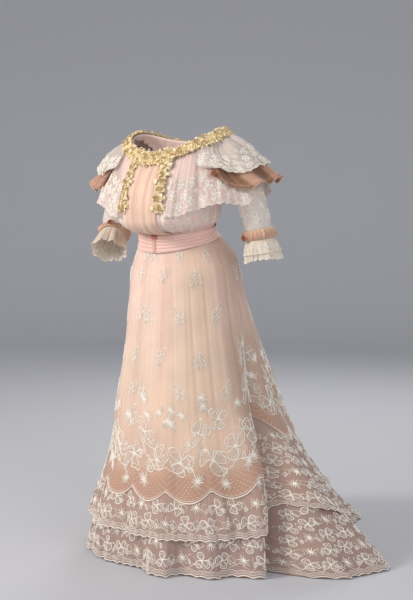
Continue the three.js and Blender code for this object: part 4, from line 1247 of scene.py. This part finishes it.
def collar_tiers():
    for side_name, side in (("left", 1), ("right", -1)):
        points, _ = tier_surface("bertha", side, 10, 4.5, 24.0)
        bertha = sheet_mesh(f"lace_bertha_{side_name}", points, lace, False, LACE_PINK, 0.5)
        work = tier_embroidery(f"bertha_embroidery_{side_name}", points, 112, 38)
        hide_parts(f"bertha_{side_name}")
        declare(bertha, [work])

        points, folds = tier_surface("ruffle", side, 16, 3.0, 14.0, 8.0)
        down = steps(0, 1, points.shape[1] - 1)[None]
        # Painted shade and light: the coral is darker in the furrows of the gathers and lighter on their
        # ridges, and a little lighter towards the hem.
        shade = mix(CORAL_PAINTED_SHADE, CORAL_PAINTED_LIGHT, 0.75 * smooth(0.5 + 0.16 * folds) + 0.15 * down**2)
        name = f"chiffon_ruffle_{side_name}"
        ruffle = sheet_mesh(name, points, chiffon, False, shade, 1, 0.8)
        st = Stitches()
        lay = Lay(points, False)
        edging(st, lay.length, 1.5, 2.0, 1.2, 4.0)
        edging(st, lay.length, 14, 1.1, 1.0, 4.0)
        edging(st, lay.length, 20, 1.1, 1.0, 4.0)
        work = st.piece(f"ruffle_edging_{side_name}", lay, CORAL_EDGE, "coral_chiffon")
        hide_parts(f"shoulder_ruffle_{side_name}")
        declare(ruffle, [work])

        points, _ = tier_surface("cap", side, 14, 4.5, 22.0, lift=3.2)
        cap = sheet_mesh(f"lace_cap_{side_name}", points, lace, False, LACE_WHITE, 0.42)
        work = tier_embroidery(f"cap_embroidery_{side_name}", points, 84, 30)
        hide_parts(f"shoulder_cap_{side_name}")
        declare(cap, [work])


# ---- Bodice pieces ----

BODICE_GRID = dict(columns=320, rows=52)
# How far the bodice's cloth runs past the armhole's edge, under the sleeve.
ARMHOLE_LAP = 4


def bodice():
    angle = np.linspace(0, 360, BODICE_GRID["columns"], endpoint=False)[:, None]
    up = steps(1, 0, BODICE_GRID["rows"])[None]
    puff = np.exp(-(((up - 0.28) / 0.2) ** 2))
    ripple = uneven(np.radians(angle) * 31, 2.0, 2) * (0.5 + 2.4 * puff) * smooth(up / 0.05)
    points = bodice_at(angle, up, ripple - SILK / 2)
    kept = (armhole_clear(points) > -ARMHOLE_LAP).reshape(-1)
    faces = grid_faces(BODICE_GRID["columns"], BODICE_GRID["rows"] + 1, True)
    faces = np.array([f for f in faces if kept[list(f)].all()])
    shade = mix(LACE_PINK, LINING_PINK, 0.55 * smooth((0.5 - up) / 0.3))
    flat = points.reshape(-1, 3)
    used = np.unique(faces)
    place = np.full(len(flat), -1)
    place[used] = np.arange(len(used))
    faces = place[faces].tolist()
    uv = grid_uv(points, True).reshape(-1, 2)[used]
    tint = rgba(shade, 1.0, points.shape[:2]).reshape(-1, 4)[used]
    piece = new_piece("lace_bodice", flat[used], faces, chiffon, uv, tint)
    wall = piece.modifiers.new("cloth", "SOLIDIFY")
    wall.thickness, wall.offset = 0.001, 0
    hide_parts("bodice_front", "bodice_back")

    st = Stitches()
    lay = Lay(points[:, :46], True, 30)
    lacework(st, lay.length, 18, 92, 36, 2)
    edging(st, lay.length, 10, 2.2, 1.4)
    swing = np.linspace(0, lay.length, 700)
    st.stroke(np.column_stack([swing, 15 + 5 * np.abs(np.sin(np.pi * swing / lay.length * 40))]), 1.6)
    work = st.piece("bodice_embroidery", lay, CREAM, "lace")
    declare(piece, [work])
    return points


def panel():
    ups = steps(0.97, 0.07, 40)
    across = 1.12 * steps(-1, 1, 110)[:, None]
    up = ups[None]
    angle = angle_at(PANEL["half"] * across, up)
    wander = 0.5 * np.sin(4 * up + 5 * across) + 0.25 * np.sin(11 * up + 2 * across)
    pleat = PANEL["pleat"] * (0.62 + 0.5 * uneven(PANEL["pleats"] * across + wander, 2.6))
    pleat = pleat + 1.2 * np.abs(np.sin(21 * across + 2 * wander)) * (0.5 + 0.5 * up)
    rolled = np.where(np.abs(across) > 1.11, 0.5, 1.0)
    points = bodice_at(angle, up, (2 * SEAM + CLOTH / 2 + pleat) * rolled)
    streak = 0.5 + 0.5 * uneven(9 * across + 0.4 * wander, 0.4)
    shade = mix(PANEL_PINK, PANEL_CREAM, streak)
    piece = sheet_mesh("chiffon_panel", points[::-1], chiffon, False, shade, 1, 0.8)
    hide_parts("front_panel")
    declare(piece)


# ---- Ribbon ----

GOLD = colour(0.94, 0.85, 0.65)
PALE_GOLD = colour(0.97, 0.91, 0.78)
# Painted shade: the darker gold that the ribbon takes in the hollows of its pleats, the inner turns of its
# rosettes and the feet of its loops.
GOLD_PAINTED_SHADE = colour(0.84, 0.71, 0.47)
ROSE = colour(0.90, 0.72, 0.62)


def rosette(centre, out, radius, seed, turns=2.3, count=46):
    """A rolled ribbon rosette: a strip wound outwards, low at its outer turn and ruffled."""
    out = unit(np.asarray(out, float))
    side = unit(np.cross(out, [0.3, 0.2, 1.0]))
    up = np.cross(side, out)
    t = np.linspace(0, 1, count)
    phi = 2 * math.pi * turns * t + seed
    reach = radius * (0.14 + 0.74 * t**0.8) * (1 + 0.1 * np.sin(5 * phi / turns + seed))
    ruffle = np.sin(7 * phi / turns * 2.2 + seed)
    lines = []
    for level in (0.0, 0.5, 1.0):
        ring = reach * (0.78 + 0.34 * level**1.5) + level * 0.08 * radius * ruffle
        swell = level * 0.06 * radius * np.cos(3 * phi)
        high = radius * ((0.42 - 0.3 * t) + (0.62 - 0.25 * t) * level) + swell
        lines.append(centre + side * (ring * np.cos(phi))[:, None] + up * (ring * np.sin(phi))[:, None]
                     + out * high[:, None])
    points = np.stack(lines, 1)
    # Painted shade: the rosette is darker at its inner turns and lighter at its outer turn.
    shade = mix(np.broadcast_to([0.0], (count, 3)), np.ones(3), (0.25 + 0.75 * t))
    return points, shade


class Trimmings:
    """Many small grids of ribbon joined into one mesh."""

    def __init__(self):
        self.vertices, self.faces, self.uv, self.tint, self.count = [], [], [], [], 0

    def add(self, points, tint):
        columns, rows = points.shape[:2]
        self.vertices.append(points.reshape(-1, 3))
        self.faces += [[k + self.count for k in f] for f in grid_faces(columns, rows, False)]
        self.uv.append(grid_uv(points, False).reshape(-1, 2))
        self.tint.append(rgba(tint, 1.0, (columns, rows)).reshape(-1, 4))
        self.count += columns * rows

    def rosette(self, centre, out, radius, seed, light, deep, turns=2.3, count=46):
        points, shade = rosette(centre, out, radius, seed, turns, count)
        # deep is the painted shade of the inner turns; light is the ribbon's colour at the outer turn.
        tint = deep + (light - deep) * shade[:, None, :]
        self.add(points, np.broadcast_to(tint, points.shape))

    def loop(self, centre, out, size, rng, light, deep):
        """A loop of narrow ribbon that springs from the cloth and bends over."""
        out = unit(np.asarray(out, float) + 0.5 * rng.uniform(-1, 1, 3))
        side = unit(np.cross(out, rng.uniform(-1, 1, 3)))
        width = np.cross(out, side) * size * 0.34
        t = np.linspace(0, np.pi, 7)[:, None]
        arch = centre + side * size * 0.55 * np.cos(t) + out * size * (0.75 * np.sin(t) ** 0.8 - 0.12)
        curl = side * size * 0.12 * np.sin(3 * t)
        points = np.stack([arch - width, arch + 0.2 * out + curl, arch + width], 1)
        # Painted shade: the loop is darker at its feet, where it meets the cloth, and lighter over its arch.
        tint = deep + (light - deep) * np.sin(t)[:, None]
        self.add(points, np.broadcast_to(tint, points.shape))

    def piece(self, name, material, slot):
        return new_piece(name, np.concatenate(self.vertices), self.faces, material,
                         np.concatenate(self.uv), np.concatenate(self.tint))


def chiffon_rosette(name, seat, facing, seed, look):
    """A coral rosette, wound closer than the ribbon ones."""
    st = Trimmings()
    st.rosette(seat, facing, look["radius"], seed, look["light"], look["deep"], 3.0, 80)
    return st.piece(name, chiffon, "coral_chiffon")


def ruche_base(i, k):
    """How far out the face lies that the ruching is sewn to, at a column of the collar."""
    i = i % COLLAR["columns"]
    step = min(i, COLLAR["columns"] - i)
    if TIERS["cap"]["first"] <= step <= TIERS["cap"]["last"]:
        return cap_out(i, k)
    if TIERS["bertha"]["first"] <= step <= TIERS["bertha"]["last"]:
        return bertha_out(i, k)
    return PANEL["pleat"] + CLOTH + SEAM


def neck_ruche():
    """The gathered ribbon round the neckline, with its rosettes and loops."""
    n = COLLAR["columns"]
    flat = []
    for i in range(n):
        line = []
        for k in range(2):
            out = max(ruche_base(j, k) for j in (i - 1, i, i + 1)) + 4 * SEAM
            line.append(collar[i, k] + collar_out[i, k] * out)
        flat.append(line)
    flat = np.array(flat)
    at = np.arange(0, n, 1 / RUCHE["fine"])
    base = refine(flat, at, True)
    v = steps(-0.1, 1.16, 12)[None, :, None]
    points = base[:, :1] * (1 - v) + base[:, 1:2] * v
    out = refine(collar_out[:, :2].mean(1), at, True)[:, None]
    phase = 2 * np.pi * 2.6 * at + 1.2 * np.sin(1.7 * at) + 0.8 * np.sin(4.3 * at)
    v1 = np.clip(v[..., 0], 0, 1)
    puff = 4.6 * np.sqrt(np.maximum(0, np.sin(np.pi * v1)))
    pleat = (1.7 + 1.1 * np.abs(2 * v1 - 1)) * np.sin(phase[:, None] + 1.1 * np.sin(5 * v1))
    points = points + out * (1.6 + puff + pleat)[..., None]
    # Painted shade: the ribbon is darker where its pleats sink in.
    shade = mix(GOLD, GOLD_PAINTED_SHADE, 0.5 * smooth(0.5 - 0.25 * pleat))
    piece = sheet_mesh("ribbon_ruche", points, ribbon, True, shade, 1, 0.7)
    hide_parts("neck_ruche")
    st = Trimmings()
    rng = np.random.default_rng(5)

    def seat(place, share):
        """A point on the band, how far round and how far across it, and its outward direction."""
        a, b = refine(base, np.array([place * RUCHE["fine"] % (n * RUCHE["fine"])]), True)[0]
        facing = refine(collar_out[:, :2].mean(1), np.array([place % n]), True)[0]
        return a + (b - a) * share, facing

    for row, (share, count) in enumerate(RUCHE["rosettes"]):
        for k in range(count):
            place = (k + 0.5 * row + 0.25 * rng.uniform(-1, 1)) * n / count
            centre, facing = seat(place, share + 0.12 * rng.uniform(-1, 1))
            light = ROSE if (k + 3 * row) % 8 == 5 else mix(GOLD, PALE_GOLD, rng.uniform(0, 1))
            facing = facing + 0.35 * rng.uniform(-1, 1, 3)
            size = rng.uniform(7.0, 10.5)
            st.rosette(centre + facing * 4.2, facing, size, rng.uniform(0, 6), light, GOLD_PAINTED_SHADE)
    for k in range(RUCHE["loops"]):
        centre, facing = seat((k + rng.uniform(0, 1)) * n / RUCHE["loops"], rng.uniform(-0.16, 1.3))
        light = mix(GOLD, PALE_GOLD, rng.uniform(0, 1))
        st.loop(centre + facing * 3.6, facing, rng.uniform(6.5, 10.5), rng, light, mix(GOLD_PAINTED_SHADE, light, 0.5))
    work = st.piece("ruche_rosettes", ribbon, "ribbon")
    declare(piece, [work])


def ribbon_trims():
    for name, side in (("left", 1), ("right", -1)):
        ups = steps(TRIM["end"], TRIM["start"], 120)
        across = steps(-1, 1, 8)[:, None] * (0.8 + 0.2 * np.sin(ups * 61 + 1))[None]
        angle = angle_at((TRIM["x"] + TRIM["half"] * across) * side, ups[None])
        pleat = 1.6 * np.sin(ups * 170 + 1.3 * np.sin(31 * ups))[None] * (1 - 0.3 * across**2)
        out = 3 * SEAM + CLOTH + 2.6 + pleat + 1.6 * (1 - np.clip(across, -1, 1) ** 2)
        points = bodice_at(angle, ups[None] + 0 * angle, out)
        # Painted shade: the ribbon is darker where its pleats sink in.
        shade = mix(GOLD, GOLD_PAINTED_SHADE, 0.4 * smooth(0.5 - 0.35 * pleat))
        piece = sheet_mesh(f"ribbon_trim_cloth_{name}", points, ribbon, False, shade, 1, 0.7)
        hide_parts(f"ribbon_trim_{name}")
        st = Trimmings()
        rng = np.random.default_rng(11 + side)
        middle = TRIM["clump"] // 2
        for k, up in enumerate(steps(TRIM["end"] - 0.01, TRIM["start"] + 0.01, TRIM["loops"])):
            clump = 0.5 + 0.5 * math.cos(2 * math.pi * (k - middle) / TRIM["clump"])
            x = (TRIM["x"] + (8 + 10 * clump) * rng.uniform(-1, 1)) * side
            a = float(angle_at(x, up))
            centre = bodice_at(a, up, 4.6)
            facing = bodice_at(a, up, 20.0) - centre
            light = mix(GOLD, PALE_GOLD, rng.uniform(0, 1))
            if k % TRIM["clump"] == middle:
                x = (TRIM["x"] + 3 * rng.uniform(-1, 1)) * side
                centre = bodice_at(float(angle_at(x, up)), up, 6)
                facing = facing + 4 * rng.uniform(-1, 1, 3)
                st.rosette(centre, facing, rng.uniform(12, 14.5), 2.0 * k, light, GOLD_PAINTED_SHADE)
            else:
                size = (8.5 + 5.5 * clump) * rng.uniform(0.75, 1.25)
                st.loop(centre, facing, size, rng, light, mix(GOLD_PAINTED_SHADE, light, 0.5))
        work = st.piece(f"trim_rosettes_{name}", ribbon, "ribbon")
        declare(piece, [work])


# ---- Girdle ----

def girdle_points(angle, share, out):
    waist = waist_height(angle)
    towards_front = (0.5 + 0.5 * np.cos(np.radians(angle))) ** 3
    half = GIRDLE["back_half"] + (GIRDLE["front_half"] - GIRDLE["back_half"]) * towards_front
    z = waist + half * share
    top = waist - 1
    high, low = (skirt_radius(angle, level / waist) + SEAM + SILK for level in (top, 0.955 * top))
    skirt = high + (low - high) * (top - z) / (0.045 * top)
    inner, nearer = (np.linalg.norm(bodice_points(angle, up)[..., :2], axis=-1) for up in (0.0, 0.08))
    body = inner + (nearer - inner) * (z - waist) / (half + 3)
    reach = np.where(share < 0, np.maximum(skirt, inner), np.maximum(high, body)) + out
    a = np.radians(angle)
    return np.stack([reach * np.sin(a), -reach * np.cos(a), z], -1)


GIRDLE_PINK = colour(0.94, 0.79, 0.74)
GIRDLE_SHADE = colour(0.86, 0.67, 0.60)
KNOT_CORAL = colour(0.80, 0.50, 0.42)


def girdle():
    angle = np.linspace(0, 360, 200, endpoint=False)[:, None]
    share = steps(1, -1, 44)[None]
    gather = np.exp(-((turn(angle, 0) / 9) ** 2))
    around = np.radians(angle)
    pleats = 4.6 * np.pi / 2 * share + 0.9 * np.sin(3 * around + 0.6) * share + 0.6 * gather * share
    fold = 0.62 * np.sin(2 * pleats + 1.3 * np.sin(2 * around + 0.4) + 0.5 * np.sin(5 * around))
    fold = fold + 0.16 * np.sin(5.3 * pleats + 4 * around + 1.5 * np.sin(3 * around))
    out = GIRDLE["stand"] + CLOTH / 2 + 1.2 + 1.5 * fold + 1.2 * gather * np.sin(np.radians(angle) * 40)
    points = girdle_points(angle, share, out)
    shade = mix(GIRDLE_PINK, GIRDLE_SHADE, 0.55 * smooth(0.35 - 0.5 * fold))
    piece = sheet_mesh("pleated_girdle", points, chiffon, True, shade, 1, 0.8)
    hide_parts("girdle")
    declare(piece)


def girdle_knot():
    share = steps(1.02, -0.9, 60)[None]
    across = steps(-1, 1, 20)[:, None]
    half = 3.0 + 2.6 * np.exp(-(((share - 0.8) / 0.2) ** 2)) + 0.5 * np.sin(30 * share)
    stand = 3.2 + 6.0 * np.exp(-(((share - 0.8) / 0.18) ** 2)) + 0.6 * np.sin(26 * share)
    base = GIRDLE["stand"] + CLOTH + GIRDLE["tuck"] + 2 * SEAM
    out = base + stand * (1 - across**2) + 0.5 * np.sin(8 * across + 4 * share)
    points = girdle_points(half * across, share + 0 * across, out)
    shade = mix(GIRDLE_PINK, KNOT_CORAL, 0.35 + 0.65 * smooth(2 * share - 0.6))
    piece = sheet_mesh("knot", points, chiffon, False, shade, 1, 0.6)
    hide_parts("girdle_knot")
    declare(piece)


# ---- Sleeves ----

# How far the middle of a cloth that is sewn over the sleeve lies out from the arm.
ARM_STAND = 2 * SEAM + CLOTH / 2


def arm_grid(arm, shares, outs, slides, columns, ripple):
    """A tube round an arm; ripple(angle, k) adds to the distance out at each row."""
    angle = np.linspace(0, 2 * np.pi, columns, endpoint=False)
    rows = [
        arm.ring(share, angle, out + ripple(angle, k) + 0 * angle, slide)
        for k, (share, out, slide) in enumerate(zip(shares, outs, slides))
    ]
    points = np.stack(rows, 1)
    return points if arm is arms["right"] else points[::-1]


def band_gathers(angle):
    """Fine gathers that cross a sleeve's chiffon band."""
    return 0.75 * np.sin(29 * angle + 1.5 * np.sin(3 * angle)) + 0.5 * np.sin(17 * angle + 2)


def sleeve_ripple(a, k):
    return np.sin(7 * a + 0.2 * k) + 1.1 * np.sin(3 * a + 0.45 * k + np.sin(0.2 * k))


def band_ripple(a, k):
    return 2.6 * math.sin(math.pi * k / BAND["rows"]) * uneven(9 * a, 1.0) + band_gathers(a)


def sleeves():
    for side, arm in arms.items():
        shares = steps(SLEEVE_START, 1, 56)
        points = arm_grid(arm, shares, 0 * shares - CLOTH / 2, 0 * shares, 96, sleeve_ripple)
        sleeve = sheet_mesh(f"lace_sleeve_{side}", points, lace, True, LACE_WHITE, 0.62)
        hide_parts(f"sleeve_{side}")
        lay = Lay(points, True)
        st = Stitches()
        lacework(st, lay.length, 56, 250, 40, 1)
        work = st.piece(f"sleeve_embroidery_{side}", lay, CREAM, "lace")
        declare(sleeve, [work])

        t = steps(0, 1, BAND["rows"])
        shares = BAND["start"] + (BAND["end"] - BAND["start"]) * t
        puff = ARM_STAND + 0.6 + (BAND["puff"] + 1) * np.sqrt(np.maximum(0, np.sin(np.pi * t)))
        points = arm_grid(arm, shares, puff, 0 * t, BAND["columns"], band_ripple)
        turned = np.linspace(0, 2 * np.pi, BAND["columns"], endpoint=False)[:, None]
        shade = mix(BAND_CHIFFON, BAND_EDGE, (2 * t[None] - 1) ** 2)
        # Painted shade and highlight: the band is darker in the furrows of its gathers and lighter on their
        # ridges.
        shade = shade * (0.93 + 0.1 * band_gathers(turned)[..., None])
        band = sheet_mesh(f"chiffon_band_{side}", points, chiffon, True, shade, 1, 0.7)
        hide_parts(f"sleeve_band_{side}")
        declare(band)

        cuff(side, arm)
        sleeve_rosette(side, arm)


def cuff(side, arm):
    """A cuff's gathered ruffle, and a shorter frill over it."""
    t = steps(0, 1, CUFF["rows"])
    shares = np.minimum(1, BAND["end"] + 0.012 + 0.05 * t * 12)
    slides = CUFF["length"] * np.maximum(0, t * 1.06 - 0.06)
    outs = ARM_STAND + CUFF["flare"] * t**0.8

    def ripple(a, k):
        big = 3 * t[k] * CUFF["ripple"] * (1 + np.cos(CUFF["waves"] * a + 0.9 * np.sin(3 * a))) / 2
        small = 1.8 * np.sin(21 * a + 2.4 * np.sin(4 * a)) + 1.1 * np.sin(34 * a + np.sin(7 * a))
        return big + small * t[k] ** 0.7

    points = arm_grid(arm, shares, outs, slides, CUFF["columns"], ripple)
    turned = np.linspace(0, 2 * np.pi, CUFF["columns"], endpoint=False)
    lobe = np.abs(np.sin(9.5 * turned))[:, None, None] + 0.8 * np.sin(2 * turned + 1)[:, None, None]
    down = unit(points[:, -1] - points[:, -4])[:, None]
    points = points + down * 4.5 * (lobe - 0.7) * smooth((t - 0.7) / 0.3)[None, :, None]
    piece = sheet_mesh(f"lace_cuff_{side}", points, lace, True, CUFF_LACE, 0.62)
    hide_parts(f"cuff_ruffle_{side}")
    upper = points[:, :18] + normals(points, True)[:, :18] * (1.2 + 4.5 * t[None, :18, None])
    frill = sheet_mesh(f"cuff_frill_{side}", upper, lace, True, FRILL_LACE, 0.7)
    lay = Lay(points, True)
    st = Stitches()
    lacework(st, lay.length, 9, 44, 26, 3)
    edging(st, lay.length, 1.8, 2.4, 1.6, 4)
    edging(st, lay.length, 7, 1.2, 1.2, 4)
    work = st.piece(f"cuff_embroidery_{side}", lay, CREAM, "lace")
    above = Stitches()
    frill_lay = Lay(upper, True)
    lacework(above, frill_lay.length, 10, 32, 24, 5)
    edging(above, frill_lay.length, 1.4, 2.2, 1.5, 4)
    eyelets(above, frill_lay.length, 6, 7, 1.8)
    frill_work = above.piece(f"frill_edging_{side}", frill_lay, CREAM, "lace")
    declare(piece, [work])
    declare(frill, [frill_work])


def sleeve_rosette(side, arm):
    share = (BAND["start"] + BAND["end"]) / 2
    angle = np.array([(5 if side == "left" else -5) * 2 * math.pi / 16])
    seat = arm.ring(share, angle, np.array([BAND["puff"] + CLOTH + 3 * SEAM]))[0]
    facing = seat - arm.centre(share)
    seat = seat - unit(facing) * 1.5
    piece = chiffon_rosette(f"rosette_sleeve_{side}", seat, facing, 1.0, SLEEVE_ROSETTE)
    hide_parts(f"sleeve_rosette_{side}")
    declare(piece, deep=0.011)


def collar_rosette():
    first = TIERS["ruffle"]["first"]
    edge, following = (
        collar[i, 3] + collar_out[i, 3] * (ruffle_out(i, 3) + 2.5 * SEAM) for i in (first, first + 1)
    )
    seat = edge + (following - edge) * 0.2
    facing = collar_out[first, 3]
    piece = chiffon_rosette("rosette_collar", seat, facing, 2.0, COLLAR_ROSETTE)
    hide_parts("collar_rosette")
    declare(piece, deep=0.011)


# ---- Stage ----

FLOOR_HEIGHT = -SHOULDER_HEIGHT * 0.001
CAMERA = dict(place=(2.424, -3.183, -0.233), down=4.05, turn=36, focal_px=1270, picture_px=600)


def camera():
    data = bpy.data.cameras.new("camera")
    data.lens = CAMERA["focal_px"] / CAMERA["picture_px"] * data.sensor_width
    view = bpy.data.objects.new("camera", data)
    view.location = CAMERA["place"]
    view.rotation_euler = (math.radians(90 - CAMERA["down"]), 0, math.radians(CAMERA["turn"]))
    collection.objects.link(view)
    bpy.context.scene.camera = view


def lamp(name, place, aim, power, size, tint=(1, 1, 1)):
    data = bpy.data.lights.new(name, "AREA")
    data.energy, data.size, data.color = power, size, tint
    made = bpy.data.objects.new(name, data)
    made.location = place
    made.rotation_euler = (Vector(aim) - Vector(place)).to_track_quat("-Z", "Y").to_euler()
    collection.objects.link(made)


def stage():
    """A pale floor that curves up behind the dress, and soft studio light."""
    across, away = Vector((0.81, 0.59, 0)), Vector((-0.59, 0.81, 0))
    profile = [(-30, 0), (6, 0)]
    curve = [math.radians(a) for a in range(6, 91, 6)]
    profile += [(6 + 3 * math.sin(a), 3 - 3 * math.cos(a)) for a in curve]
    profile.append((9, 24))
    points = []
    for side in (-40, 40):
        points += [
            across * side + away * far + Vector((0, 0, FLOOR_HEIGHT - 0.002 + up))
            for far, up in profile
        ]
    n = len(profile)
    mesh = bpy.data.meshes.new("floor")
    mesh.from_pydata([tuple(p) for p in points], [], [(k, k + n, k + n + 1, k + 1) for k in range(n - 1)])
    mesh.polygons.foreach_set("use_smooth", np.ones(n - 1, dtype=bool))
    floor = bpy.data.objects.new("floor", mesh)
    collection.objects.link(floor)
    material = bpy.data.materials.new("floor")
    material.use_nodes = True
    shader = material.node_tree.nodes["Principled BSDF"]
    shader.inputs["Base Color"].default_value = (0.50, 0.50, 0.52, 1)
    shader.inputs["Roughness"].default_value = 0.8
    mesh.materials.append(material)
    world = bpy.data.worlds.new("studio")
    world.use_nodes = True
    world.node_tree.nodes["Background"].inputs["Color"].default_value = (0.93, 0.95, 1.0, 1)
    world.node_tree.nodes["Background"].inputs["Strength"].default_value = 0.62
    bpy.context.scene.world = world
    bpy.context.scene.view_settings.view_transform = "Standard"
    middle = (0, 0, -0.6)
    lamp("key", (-1.9, -3.3, 1.5), middle, 135, 1.2, (1, 0.96, 0.91))
    lamp("fill", (3.8, -1.6, 0.8), middle, 42, 2.4, (0.97, 0.98, 1))
    lamp("back", (-1.2, 3.4, 1.8), middle, 55, 1.8)


camera()
stage()
underskirt_piece = underskirt()
declare(underskirt_piece)
overskirt_piece, net_points = overskirt()
declare(overskirt_piece, [net_embroidery(net_points)])
upper_piece, upper_points = upper_flounce()
upper_work = flounce_embroidery("upper_flounce_embroidery", upper_points, 40, 0)
declare(upper_piece, [upper_work])
lower_piece, lower_points = lower_flounce()
lower_work = flounce_embroidery("lower_flounce_embroidery", lower_points, 30, 1)
declare(lower_piece, [lower_work])
bodice()
panel()
ribbon_trims()
girdle()
girdle_knot()
sleeves()
collar_tiers()
neck_ruche()
collar_rosette()
